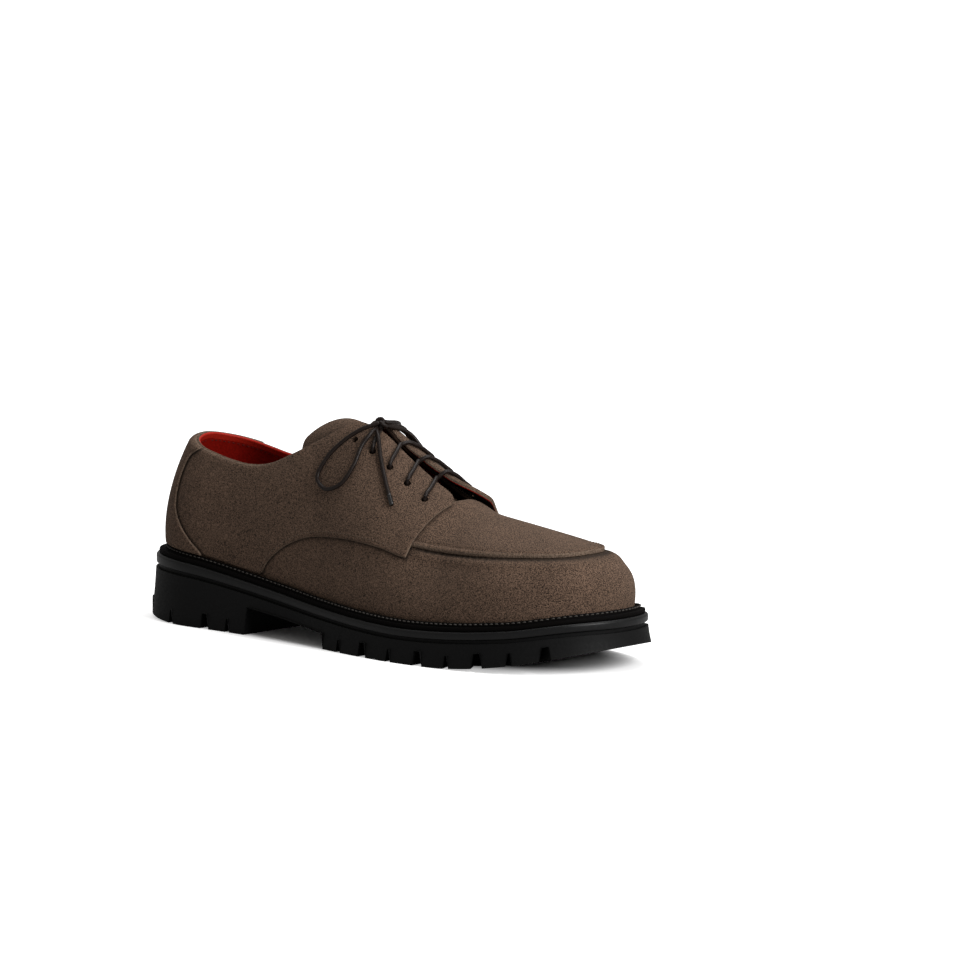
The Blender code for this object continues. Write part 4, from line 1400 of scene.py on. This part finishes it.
strip_station, strip_side, strip_rise = strip_grid()
strip_skin = last(strip_station, strip_rise, strip_side)
strip_edge = np.concatenate([route(strip_skin[0], 0.5), route(strip_skin[-1], 0.5)])
quarters = {}
for name, node, side in (
    ("quarter_lateral_fine", "quarter_lateral", LATERAL),
    ("quarter_medial_fine", "quarter_medial", MEDIAL),
):
    column = QUARTER_START + (FACING_FRONT - QUARTER_START) * eased(150)
    column = column if side < 0 else column[::-1]
    S, rise = panel(column, eased(60), side)
    SIDE = np.full(S.shape, side)
    skin = last(S, rise, SIDE)
    thick = OVERLAY * rounded(edge_distance(skin), EDGE_ROUND)
    depth = from_top(skin)
    rolled = np.where(S < COLLAR_END, rounded(depth, COLLAR_ROLL), 1.0)
    loose = (side > 0) * flap(column)[:, None] * bell(depth, FLAP_REACH)
    raised = FRONT_RISE * bell(FACING_FRONT - column, FRONT_REACH)[:, None]
    raised = raised * np.clip((skin[..., 2] - FRONT_RISE_FROM) / FRONT_RISE_OVER, 0, 1)
    sunk = hollow(S, skin[..., 2]) - FLAP_RISE * loose - raised
    above = (OVERLAY_LIFT + thick) * rolled
    below = np.minimum(OVERLAY_LIFT, above) - PANEL_SINK - FLAP_THICKER * loose
    quarters[side] = slab(
        name,
        lifted(S, rise, SIDE, above - sunk),
        lifted(S, rise, SIDE, below - sunk),
        SUEDE,
        lining=LINING if side > 0 else None,
        cut=SUEDE_EDGE if side > 0 else None,
        # The quarters' undersides are dark: painted shade under the loose inner facing.
        inside=SUEDE_CUT_AND_SHADE,
        # Painted shade on the quarters along the back strip's edges.
        seam=PANEL_SHADE * nearness(skin, strip_edge, PANEL_SHADE_WIDTH),
    )
    punch(quarters[side], eyelet_places(side))
    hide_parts(node)
print("quarters:", [len(q.data.polygons) for q in quarters.values()], "faces")

# %% [markdown]
# The back strip is narrow at its waist and wide at the collar and the foot. It lies over both quarters, so
# its lift is theirs and a little more, and it rolls in over the collar as they do.

# %% Back strip
STRIP_ROLL = COLLAR_ROLL + 0.6
thick = STRIP * rounded(edge_distance(strip_skin), EDGE_ROUND)
sunk = hollow(strip_station, strip_skin[..., 2])
above = (STRIP_LIFT + thick) * rounded(from_top(strip_skin), STRIP_ROLL)
below = np.minimum(STRIP_LIFT, above) - PANEL_SINK
strip = slab(
    "back_strip_fine",
    lifted(strip_station, strip_rise, strip_side, above - sunk),
    lifted(strip_station, strip_rise, strip_side, below - sunk),
    SUEDE,
)
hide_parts("back_strip")
print("back strip:", len(strip.data.polygons), "faces")

# %% [markdown]
# ## The apron
# The apron is the panel on top of the toe. Its edge is pinched up with the vamp and sewn, which leaves a
# rolled ridge with a dark line of stitches under it. The panel is a height field. Its heights are read from
# the last and softened by a bell curve on a map with a point for each millimetre, so that no point shows
# where the sections fan out.

# %% Height map of the toe
MAP_BLUR = 5


def crown_height(x, y):
    """Height of the last over a plan position: its section gives the rise there, and the rise the height."""
    shift = y - swing(x)
    side = np.where(shift < 0, LATERAL, MEDIAL)
    ahead = np.maximum(x - TOE_CENTRE, 0.0)
    angle = np.arctan2(ahead, np.maximum(abs(shift), 1e-6))
    station = np.where(x > TOE_CENTRE, TOE_CENTRE + (LENGTH - TOE_CENTRE) * angle / (math.pi / 2), x)
    away = np.maximum(np.hypot(ahead, shift), 0.01)
    return section(station, at_half(station, side, away), side)[1]


def blurred(grid, cells):
    """A height map softened by a bell curve, one axis after the other."""
    reach_out = 3 * cells
    weights = np.exp(-0.5 * (np.arange(-reach_out, reach_out + 1) / cells) ** 2)
    weights /= weights.sum()
    for axis in (0, 1):
        margin = np.zeros((2, 2), int)
        margin[axis] = reach_out
        padded = np.pad(grid, margin, mode="edge")
        grid = np.apply_along_axis(np.convolve, axis, padded, weights, mode="valid")
    return grid


def bilinear(grid, x0, y0, x, y):
    """Height map read between its one-millimetre points."""
    i = np.clip((x - x0).astype(int), 0, grid.shape[0] - 2)
    j = np.clip((y - y0).astype(int), 0, grid.shape[1] - 2)
    a = x - x0 - i
    b = y - y0 - j
    near = grid[i, j] * (1 - b) + grid[i, j + 1] * b
    far = grid[i + 1, j] * (1 - b) + grid[i + 1, j + 1] * b
    return near * (1 - a) + far * a


MAP_X = np.arange(176.0, 312.0)
MAP_Y = np.arange(-60.0, 64.0)
soft_map = blurred(crown_height(*np.meshgrid(MAP_X, MAP_Y, indexing="ij")), MAP_BLUR)
print("height map:", soft_map.shape, "points, up to", round(float(soft_map.max()), 1), "mm")

# %% [markdown]
# The panel's columns run from the seam in to a line along the middle of the toe, so every column ends at a
# seam and the ridge can follow it. The height is the last's own at the seam and eases to the softened map
# further in.

# %% Skin of the apron
APRON_FRONT = FACING_FRONT - 1.0
CENTRE_FRONT = 268.0
SOFT_FROM = 5.0
SOFT_OVER = 12.0
TINY = 1e-9
front = np.concatenate([np.linspace(APRON_FRONT, TOE_CENTRE, 40), np.linspace(TOE_CENTRE, LENGTH, 190)[1:]])
seam_station = np.concatenate([front, front[-2::-1]])
seam_side = np.concatenate([np.full(len(front), LATERAL), np.full(len(front) - 1, MEDIAL)])
seam_top = smooth(APRON_SEAM, "station", "height", seam_station)
seam = last(seam_station, at_height(seam_station, seam_side, seam_top), seam_side)
inward = eased(120)[:60] * 2
inward = (inward / inward[-1])[None, :, None]
lean = FACING_SLANT * np.clip((TOE_CENTRE - seam_station) / (TOE_CENTRE - APRON_FRONT), 0, 1)
heart_x = np.clip(seam[:, 0] + lean, APRON_FRONT + FACING_SLANT, CENTRE_FRONT)
heart_x = (heart_x + heart_x[::-1]) / 2
heart = np.stack([heart_x, swing(heart_x)], -1)
flat = seam[:, None, :2] * (1 - inward) + heart[:, None] * inward
from_seam = np.linalg.norm(flat - seam[:, None, :2], axis=-1)
raw = crown_height(flat[..., 0], flat[..., 1])
soft = bilinear(soft_map, MAP_X[0], MAP_Y[0], flat[..., 0], flat[..., 1])
height = raw + (soft - raw) * gentle((from_seam - SOFT_FROM) / SOFT_OVER)
skin = np.concatenate([flat, height[..., None]], axis=-1)
normal = np.cross(np.gradient(skin, axis=0), np.gradient(skin, axis=1))
length = np.linalg.norm(normal, axis=-1, keepdims=True)
normal = np.where(length > TINY, normal / np.maximum(length, TINY), [0.0, 0.0, 1.0])
normal[:, -1] = unit(normal[:, -2] + normal[::-1, -2])
print("apron's skin:", skin.shape[:2], "points")

# %% [markdown]
# Over that skin the ridge is half a sine wave along the seam, puckered by each stitch, with a shallow dip
# behind it. The panel thins out towards its back edge, where it slips under the facings.

# %% Apron
RIDGE_WIDTH = 2.4
RIDGE_HEIGHT = 0.55
RIDGE_POWER = 0.8
RIDGE_DIP = {"depth": 0.35, "at": 0.9, "width": 0.8}
PUCKER_PITCH = 3.0
PUCKER_SHARE = 0.4
APRON_ROUND = 0.9
BACK_TAPER = 5.0
BACK_SHARE = 0.25
BACK_ROW = -8
APRON_SHADE = 0.45
APRON_SHADE_WIDTH = 1.5
climb = run_along(skin, 1)
back_edge = run_along(skin[:, BACK_ROW])
back_edge = np.minimum(back_edge, back_edge[-1] - back_edge)[:, None]
pucker = 1 + PUCKER_SHARE * np.cos(2 * math.pi * run_along(seam)[:, None] / PUCKER_PITCH)
ridge = RIDGE_HEIGHT * pucker * np.sin(math.pi * np.clip(climb / RIDGE_WIDTH, 0, 1)) ** RIDGE_POWER
dip = dent(climb - RIDGE_WIDTH, **RIDGE_DIP)
taper = BACK_SHARE + (1 - BACK_SHARE) * rounded(back_edge, BACK_TAPER)
thick = OVERLAY * np.minimum(rounded(climb, APRON_ROUND), taper)
outer = skin + normal * (OVERLAY_LIFT + thick + ridge - dip)[..., None]
inner = skin + normal * (OVERLAY_LIFT - PANEL_SINK)
# Painted shade on the apron in front of the facings' front edges.
shade = APRON_SHADE * nearness(skin, facing_lines, APRON_SHADE_WIDTH)
apron = slab("apron_fine", outer, inner, SUEDE, seam=shade, edge=np.minimum(climb, back_edge))
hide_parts("apron")
print("apron:", len(apron.data.polygons), "faces")

# %% [markdown]
# ## Tongue and insole
# The tongue lies under the facings and runs on past them, suede outside and red inside, with a soft rounded
# edge. It is a grid over the throat: columns from side to side, rows from the vamp back to its free end,
# which humps and droops a little.

# %% Tongue
TONGUE_HALF = 22.0
TONGUE_FRONT = 204.0
TONGUE_EXTRA = 38.0
TONGUE_SHOULDER = -1.0
TONGUE_CORNER_CUT = 4.0
TONGUE_TAPER = 4.0
TONGUE_HUMP = 3.0
TONGUE_DROOP = 7.0
TONGUE_THICKNESS = 2.2
TONGUE_DEPTH = WALL + 4 * GAP
TONGUE_SINK = 4.0
TONGUE_CORNER_DROP = 1.5
TONGUE_ROUND = 1.3
TONGUE_SHADE = 0.85
TONGUE_SHADE_WIDTH = 4.6
SHADE_START = 92.0

run = np.concatenate([np.linspace(0, 1, 60), 1 + np.sin(np.linspace(0, math.pi / 2, 40)[1:])])
beyond = np.clip(run - 1, 0, 1)[None, :]
k = (1 - 2 * eased(64))[:, None]
S = TONGUE_FRONT + (COLLAR_END - TONGUE_FRONT) * np.clip(run, 0, 1)[None, :]
S = S - beyond * (TONGUE_EXTRA + TONGUE_SHOULDER * k * k - TONGUE_CORNER_CUT * k**6)
SIDE = np.where(k > 0, MEDIAL, LATERAL) * np.ones(S.shape)
half = abs(k) * (TONGUE_HALF - TONGUE_TAPER * beyond)
height = section(S, at_half(S, SIDE, np.maximum(half, 0.02)), SIDE)[1]
height = blurred(height, MAP_BLUR) - TONGUE_SINK * np.clip(1 - run, 0, 1)[None, :]
height = height + 4 * TONGUE_HUMP * beyond * (1 - beyond) - TONGUE_DROOP * beyond**3
height = height - TONGUE_CORNER_DROP * beyond * k**6
skin = np.stack([S, SIDE * half + swing(S), height], -1)
normal = unit(np.cross(np.gradient(skin, axis=0), np.gradient(skin, axis=1)))
normal *= np.sign(normal[..., 2:3])
thick = TONGUE_THICKNESS / 2 * rounded(edge_distance(skin), TONGUE_ROUND)[..., None]
heart = skin - normal * (TONGUE_DEPTH + TONGUE_THICKNESS / 2)
outer = heart + normal * thick
inner = heart - normal * (thick + 0.02)
# Painted shade on the tongue just above the quarters' collar edge, which overhangs it.
edge_station = np.linspace(SHADE_START, FACING_FRONT, 400)
edge_line = [last(edge_station, collar(edge_station, way), way) for way in (LATERAL, MEDIAL)]
shade = TONGUE_SHADE * nearness(outer, np.concatenate(edge_line), TONGUE_SHADE_WIDTH)
tongue = slab("tongue_fine", outer, inner, SUEDE, lining=LINING, cut=SUEDE, seam=shade)
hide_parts("tongue")
print("tongue:", len(tongue.data.polygons), "faces")

# %% [markdown]
# The insole is a red leather sock on the midsole: the profile of a thin plate with a wider top, carried
# round like the welt's and closed across.

# %% Insole
INSOLE_THICKNESS = 2.8
INSOLE_TUCK = 4.6
SOCK_TUCK = 2.2
SOCK_FOOT = WELT_TOP + 0.12
SOCK_PROFILE = table(
    "feather offset rise",
    (1, -INSOLE_TUCK, GAP),
    (1, -INSOLE_TUCK, SOCK_FOOT),
    (1, -SOCK_TUCK, SOCK_FOOT),
    (1, -SOCK_TUCK, INSOLE_THICKNESS - 0.1),
    (1, -SOCK_TUCK - 0.3, INSOLE_THICKNESS),
)
insole = capped("insole_fine", profile_rings(SOCK_PROFILE), LINING)
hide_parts("insole")
print("insole:", len(insole.data.polygons), "faces")

# %% [markdown]
# ## Stitches
# A machine stitch is a short length of thread that dips into the leather at both ends. One small tube is
# worked out once, and arrays repeat it along a line on the skin: each copy takes its direction and its up
# from the line.

# %% Stitch helper
STITCH_RINGS = 6
STITCH_SIDES = 6


def stitches(name, line, up, finish, slot, pitch, length, radius, sink):
    """A row of stitches: a bent tube of six rings and six sides, repeated every pitch along a line."""
    arc = run_along(line)
    at = np.arange(pitch / 2, arc[-1] - pitch / 2, pitch)
    axes = []
    for values in (line, up, np.gradient(line, arc, axis=0)):
        axes.append(np.stack([np.interp(at, arc, values[:, c]) for c in range(3)], -1))
    centre, above, ahead = axes
    ahead = unit(ahead)
    above = unit(above - ahead * (above * ahead).sum(axis=1, keepdims=True))
    beside = np.cross(ahead, above)
    t = np.linspace(-1, 1, STITCH_RINGS)
    turn = np.arange(STITCH_SIDES) * 2 * math.pi / STITCH_SIDES
    bow = (1 - t**2) * (radius + sink) - sink
    girth = radius * np.sqrt(np.clip(1.05 - t**6, 0.05, 1))
    forward = (t * length / 2)[:, None] + 0 * turn[None, :]
    upward = bow[:, None] + girth[:, None] * np.cos(turn)[None, :]
    sideways = girth[:, None] * np.sin(turn)[None, :]
    points = (
        centre[:, None, None]
        + ahead[:, None, None] * forward[None, ..., None]
        + above[:, None, None] * upward[None, ..., None]
        + beside[:, None, None] * sideways[None, ..., None]
    )
    i = np.arange(STITCH_RINGS - 1)[:, None] * STITCH_SIDES
    j = np.arange(STITCH_SIDES)[None, :]
    k = (j + 1) % STITCH_SIDES
    one = np.stack([i + j, i + k, i + STITCH_SIDES + k, i + STITCH_SIDES + j], -1).reshape(-1, 4)
    caps = np.array([[0, 1, 2, 3], [0, 3, 4, 5]])
    far = caps[:, ::-1] + (STITCH_RINGS - 1) * STITCH_SIDES
    one = np.concatenate([one, caps, far])
    starts = np.arange(len(at)) * STITCH_RINGS * STITCH_SIDES
    faces = (one[None] + starts[:, None, None]).reshape(-1, 4)
    made = build(name, points.reshape(-1, 3), faces, [finish], outward=True)
    return len(at)


def skin_line(station, rise, side, lift):
    """Points and up directions of a line on the lifted skin."""
    here = lifted(station, rise, side, lift)
    return here, lifted(station, rise, side, lift + 1.0) - here


print("one stitch:", STITCH_RINGS * STITCH_SIDES, "points")

# %% [markdown]
# Four kinds of rows are sewn: pale thread along the quarters' lower edges, red thread round the lining,
# dark thread in the apron's seam and heavy thread along the welt's rib. Each has its own pitch, length,
# thickness and depth.

# %% Rows of stitches
QUARTER_STITCH = {"pitch": 2.3, "length": 1.7, "radius": 0.16, "sink": 0.2}
LINING_STITCH = {"pitch": 2.6, "length": 1.9, "radius": 0.16, "sink": 0.15}
APRON_STITCH = {"pitch": 3.0, "length": 2.2, "radius": 0.3, "sink": 0.3}
WELT_STITCH = {"pitch": 2.9, "length": 2.1, "radius": 0.34, "sink": 0.25}
QUARTER_FACE = OVERLAY_LIFT + OVERLAY
QUARTER_MARGIN = 2.4
LINING_MARGIN = 3.4
APRON_MARGIN = 0.7
APRON_STITCH_LIFT = -0.15
STITCH_DROP = 0.85
WELT_LINE = np.linspace(0, LENGTH, 700)
SIDES = (("lateral", LATERAL), ("medial", MEDIAL))
made = {}
for word, side in SIDES:
    s = np.linspace(QUARTER_EDGE["station"][0] + 2.0, FACING_FRONT - 2.2, 400)
    low = at_height(s, side, section(s, quarter_foot(s, side), side)[1] + QUARTER_MARGIN)
    here, above = skin_line(s, low, side, QUARTER_FACE)
    here = here - above * hollow(s, section(s, low, side)[1])[:, None]
    made[f"foot {word}"] = stitches(f"stitch_quarter_{word}", here, above, THREAD, "suede", **QUARTER_STITCH)
    s = np.linspace(2.0, COLLAR_END - 4.0, 300)
    under = at_height(s, side, section(s, collar(s, side), side)[1] - LINING_MARGIN)
    here, above = skin_line(s, under, side, -WALL)
    here = here - above * hollow(s, section(s, under, side)[1])[:, None]
    row = stitches(f"stitch_lining_{word}", here, -above, RED_THREAD, "lining", **LINING_STITCH)
    made[f"lining {word}"] = row

low = at_height(seam_station, seam_side, seam_top - APRON_MARGIN)
here, above = skin_line(seam_station, low, seam_side, APRON_STITCH_LIFT)
made["apron"] = stitches("stitch_apron", here, above, DARK_THREAD, "suede", **APRON_STITCH)

rib = ring(WELT_LINE, RIB_START + RIB_WIDTH, over_band(RIB_TOP - STITCH_DROP), feather=True)
outside = ring(WELT_LINE, RIB_START + RIB_WIDTH + 1.0, over_band(RIB_TOP - STITCH_DROP + 0.5), feather=True)
rib, outside = [np.concatenate([line, line[:1]]) for line in (rib, outside)]
made["welt"] = stitches("stitch_welt", rib, outside - rib, WELT_THREAD, "welt", **WELT_STITCH)
print("stitches:", made)

# %% [markdown]
# ## The lace
# A waxed round lace runs criss-cross: it comes up through an eyelet, passes over its own facing, crosses
# the throat and dives under the other facing to the next eyelet. Each strand is a short table: the share of
# the way to the next pair, the distance from the middle, its own or the other side, and the lift from the
# skin.

# %% Lacing
LACE_RADIUS = 1.1
LACE_SPACING = 0.45
LATERAL_STRAND = table(
    "share half own lift",
    (0.0, 18.0, 1, -3.4),
    (0.0, 18.0, 1, 0.2),
    (0.04, 17.2, 1, 2.7),
    (0.16, 11.5, 1, 3.1),
    (0.34, 6.0, 1, 3.1),
    (0.46, 3.2, 1, 2.4),
    (0.54, 0.9, 1, -0.6),
    (0.60, 1.6, -1, -3.4),
    (0.66, 5.0, -1, -4.4),
)
MEDIAL_STRAND = table(
    "share half own lift",
    (0.0, 18.0, 1, -3.4),
    (0.0, 18.0, 1, 0.2),
    (0.04, 17.2, 1, 2.6),
    (0.14, 11.5, 1, 3.0),
    (0.28, 5.0, 1, 3.1),
    (0.40, 0.4, 1, 3.1),
    (0.46, 2.2, -1, 1.6),
    (0.52, 3.2, -1, -1.4),
    (0.60, 5.5, -1, -4.2),
)
NEAR_EYELET = 15.0
UNDER_FACING = -2.0


def strand_points(pair, side):
    """Route of one strand: out of its eyelet, over the facing, across the throat and under the far facing."""
    rows = LATERAL_STRAND if side < 0 else MEDIAL_STRAND
    taper = EYELET_TAPER * pair * (rows["half"] > NEAR_EYELET)
    station = EYELET_FIRST - (pair + rows["share"]) * EYELET_PITCH
    own = rows["own"] * side
    v = at_half(station, own, np.maximum(rows["half"] - taper, 0.02))
    depth = rows["half"] - throat_half(station, own)
    loose = (own > 0) * (rows["lift"] > UNDER_FACING) * flap(station) * bell(depth, FLAP_REACH)
    return lifted(station, v, own, rows["lift"] + FLAP_RISE * loose)


for pair in range(EYELET_PAIRS - 1):
    for word, side in SIDES:
        path = route(strand_points(pair, side), LACE_SPACING)
        strand = tube(f"lace_strand_{pair + 1}_{word}", path, LACE_RADIUS, LACE)
        if word == "lateral":
            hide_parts(f"lace_cross_{pair + 1}")
print("lacing:", 2 * (EYELET_PAIRS - 1), "strands")

# %% [markdown]
# Over the top pair the lace is tied in a bow. The knot is a trefoil, the simplest closed knot, squeezed and
# turned to lie on the throat. A trefoil is one formula of sines, where a modelled bow knot would need a
# long list of points.

# %% Knot
KNOT_STATION = 146.0
KNOT_HALF = 5.5
OVER = OVERLAY_LIFT + OVERLAY + LACE_RADIUS + 0.5
KNOT_LIFT = OVER + 2.4
KNOT_RADIUS = 3.0
KNOT_SQUEEZE = (1.0, 0.85, 1.0)
KNOT_DEPTH = 1.1
ACROSS_KNOT = np.array([0.25, 0.95, 0.1])
knot_rise = at_half(KNOT_STATION, LATERAL, KNOT_HALF)
middle = lifted(KNOT_STATION, knot_rise, LATERAL, KNOT_LIFT)
upward = middle - lifted(KNOT_STATION, knot_rise, LATERAL, KNOT_LIFT - 1.0)
upward = unit(upward - ACROSS_KNOT * (upward @ ACROSS_KNOT) / (ACROSS_KNOT @ ACROSS_KNOT))
forward = np.cross(upward, unit(ACROSS_KNOT))
t = np.linspace(0, 2 * math.pi, 140)
wide = np.sin(t) + 2 * np.sin(2 * t)
tall = np.cos(t) - 2 * np.cos(2 * t)
turns = np.stack([wide, tall, -KNOT_DEPTH * np.sin(3 * t)], -1)
turns = turns * KNOT_RADIUS / 3 * KNOT_SQUEEZE
knot_path = middle + turns @ np.stack([forward, upward, ACROSS_KNOT])
knot = tube("lace_knot_fine", knot_path, LACE_RADIUS, LACE)
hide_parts("lace_knot")
print("knot:", np.round(np.ptp(knot_path, axis=0), 1).tolist(), "mm")

# %% [markdown]
# The loops and the tagged ends start at the knot and lie down on the quarters. They hang free on the real
# shoe; here each is a cord laid from where it leaves the knot along the path that it takes, and its length is
# printed.

# %% Loops and ends
LOOP = table(
    "station half lift",
    (142, 11.0, 5.6),
    (135, 16.5, 4.0),
    (127, 22.4, 3.3),
    (125, 26.3, 3.2),
    (132, 28.4, 3.2),
    (142, 28.0, 3.2),
    (146, 23.1, 3.3),
    (145.5, 16.4, 4.0),
    (146, 11.5, 5.2),
)
END = table(
    "station half lift",
    (150, 11.0, 5.2),
    (156, 15.8, 3.9),
    (166, 22.7, 3.2),
    (175, 28.3, 3.1),
)
AGLET_LENGTH = 6.5
AGLET_RADIUS = LACE_RADIUS + 0.12
INNER_SETTLE = 1.0
SETTLE_HALF = 17.0
ROOT_REACH = 2.2
for word, side in SIDES:
    root = middle + ACROSS_KNOT * side * ROOT_REACH
    for kind, rows in (("loop", LOOP), ("end", END)):
        v = at_half(rows["station"], side, rows["half"])
        settle = INNER_SETTLE * (side > 0) * (rows["half"] < SETTLE_HALF)
        free = lifted(rows["station"], v, side, rows["lift"] - settle)
        if kind == "loop":
            stops = [root + upward * 1.2, free, root - upward * 1.2]
        else:
            stops = [root - upward * 1.6 + forward * 0.8, free]
        path = route(np.vstack(stops), LACE_SPACING)
        name = f"lace_{kind}_{word}"
        if kind == "end":
            tip = path[-int(AGLET_LENGTH / LACE_SPACING) :]
            aglet = tube(f"aglet_{word}", tip, AGLET_RADIUS, AGLET)
        cord = tube(name + "_fine", path, LACE_RADIUS, LACE)
        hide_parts(name)
        length = float(run_along(path)[-1])
        print(name, round(length, 1), "mm")

# %% [markdown]
# ## Floor and light
# The picture is a studio shot on white. The floor is pale and, seen by the camera, glows a little, so that
# it stays white around the shoe. Within an oval under the shoe the glow fades out, which leaves only a soft
# shadow at the sole.

# %% Floor
FLOOR_SIZE = 40.0
SHADE_HALF = (0.158, 0.068)
SHADE_SHIFT = -0.012
LIT_GREY = (0.45, 0.45, 0.45, 1)
SEEN_GREY = (0.88, 0.88, 0.88, 1)
OVAL_EDGE = {"From Min": 0.76, "From Max": 1.04}
GLOW_RANGE = {"From Min": 4.0, "From Max": 20.0, "To Min": 0.52, "To Max": 1.05}
half = FLOOR_SIZE / 2
floor_corners = [(-half, -half, 0), (half, -half, 0), (half, half, 0), (-half, half, 0)]
floor_mesh = bpy.data.meshes.new("floor")
floor_mesh.from_pydata(floor_corners, [], [(0, 1, 2, 3)])
floor = bpy.data.objects.new("floor", floor_mesh)
scene.collection.objects.link(floor)
pale = bpy.data.materials.new("pale_floor")
pale.use_nodes = True
floor_mesh.materials.append(pale)
tree = pale.node_tree
node = tree.nodes.new
link = tree.links.new
shader = preset(tree.nodes["Principled BSDF"], {"Roughness": 0.9, "Specular IOR Level": 0.0})
ray = node("ShaderNodeLightPath")
paint = node("ShaderNodeMix")
paint.data_type = "RGBA"
preset(paint, {"A": LIT_GREY, "B": SEEN_GREY})
link(ray.outputs["Is Camera Ray"], paint.inputs["Factor"])
link(paint.outputs["Result"], shader.inputs["Base Color"])
where = node("ShaderNodeTexCoord")
fitted = node("ShaderNodeMapping")
fitted.inputs["Location"].default_value = (0.0, SHADE_SHIFT / SHADE_HALF[1], 0.0)
fitted.inputs["Scale"].default_value = (1 / SHADE_HALF[0], 1 / SHADE_HALF[1], 1.0)
away = node("ShaderNodeVectorMath")
away.operation = "LENGTH"
oval = preset(node("ShaderNodeMapRange"), OVAL_EDGE)
oval.interpolation_type = "SMOOTHSTEP"
further = preset(node("ShaderNodeMapRange"), GLOW_RANGE)
lit = node("ShaderNodeMath")
lit.operation = "MULTIPLY"
seen = node("ShaderNodeMath")
seen.operation = "MULTIPLY"
glow = node("ShaderNodeEmission")
total = node("ShaderNodeAddShader")
link(where.outputs["Object"], fitted.inputs["Vector"])
link(fitted.outputs["Vector"], away.inputs[0])
link(away.outputs["Value"], oval.inputs["Value"])
link(away.outputs["Value"], further.inputs["Value"])
link(oval.outputs["Result"], lit.inputs[0])
link(ray.outputs["Is Camera Ray"], lit.inputs[1])
link(lit.outputs["Value"], seen.inputs[0])
link(further.outputs["Result"], seen.inputs[1])
link(seen.outputs["Value"], glow.inputs["Strength"])
link(shader.outputs["BSDF"], total.inputs[0])
link(glow.outputs["Emission"], total.inputs[1])
link(total.outputs["Shader"], tree.nodes["Material Output"].inputs["Surface"])
print("floor:", FLOOR_SIZE, "m,", len(tree.nodes), "nodes")

# %% [markdown]
# A broad light from the toe's end, a little above, catches the toe and the apron and leaves the side in
# soft shade. A second one overhead lights the collar, and a weak overall light fills the rest.

# %% Lights
world = bpy.data.worlds.new("studio")
world.use_nodes = True
preset(world.node_tree.nodes["Background"], {"Color": (1.0, 0.98, 0.96, 1), "Strength": 0.35})
scene.world = world


def softbox(name, location, size, watts):
    """A square area light that faces the shoe."""
    data = bpy.data.lights.new(name, "AREA")
    data.size = size
    data.energy = watts
    made = bpy.data.objects.new(name, data)
    made.location = location
    made.rotation_mode = "QUATERNION"
    made.rotation_quaternion = (AIM - Vector(location)).to_track_quat("-Z", "Y")
    scene.collection.objects.link(made)


softbox("key", (1.68, -0.08, 1.0), 1.1, 40.0)
softbox("top", (-0.2, 0.6, 1.9), 1.4, 22.0)
scene.view_settings.view_transform = "Standard"
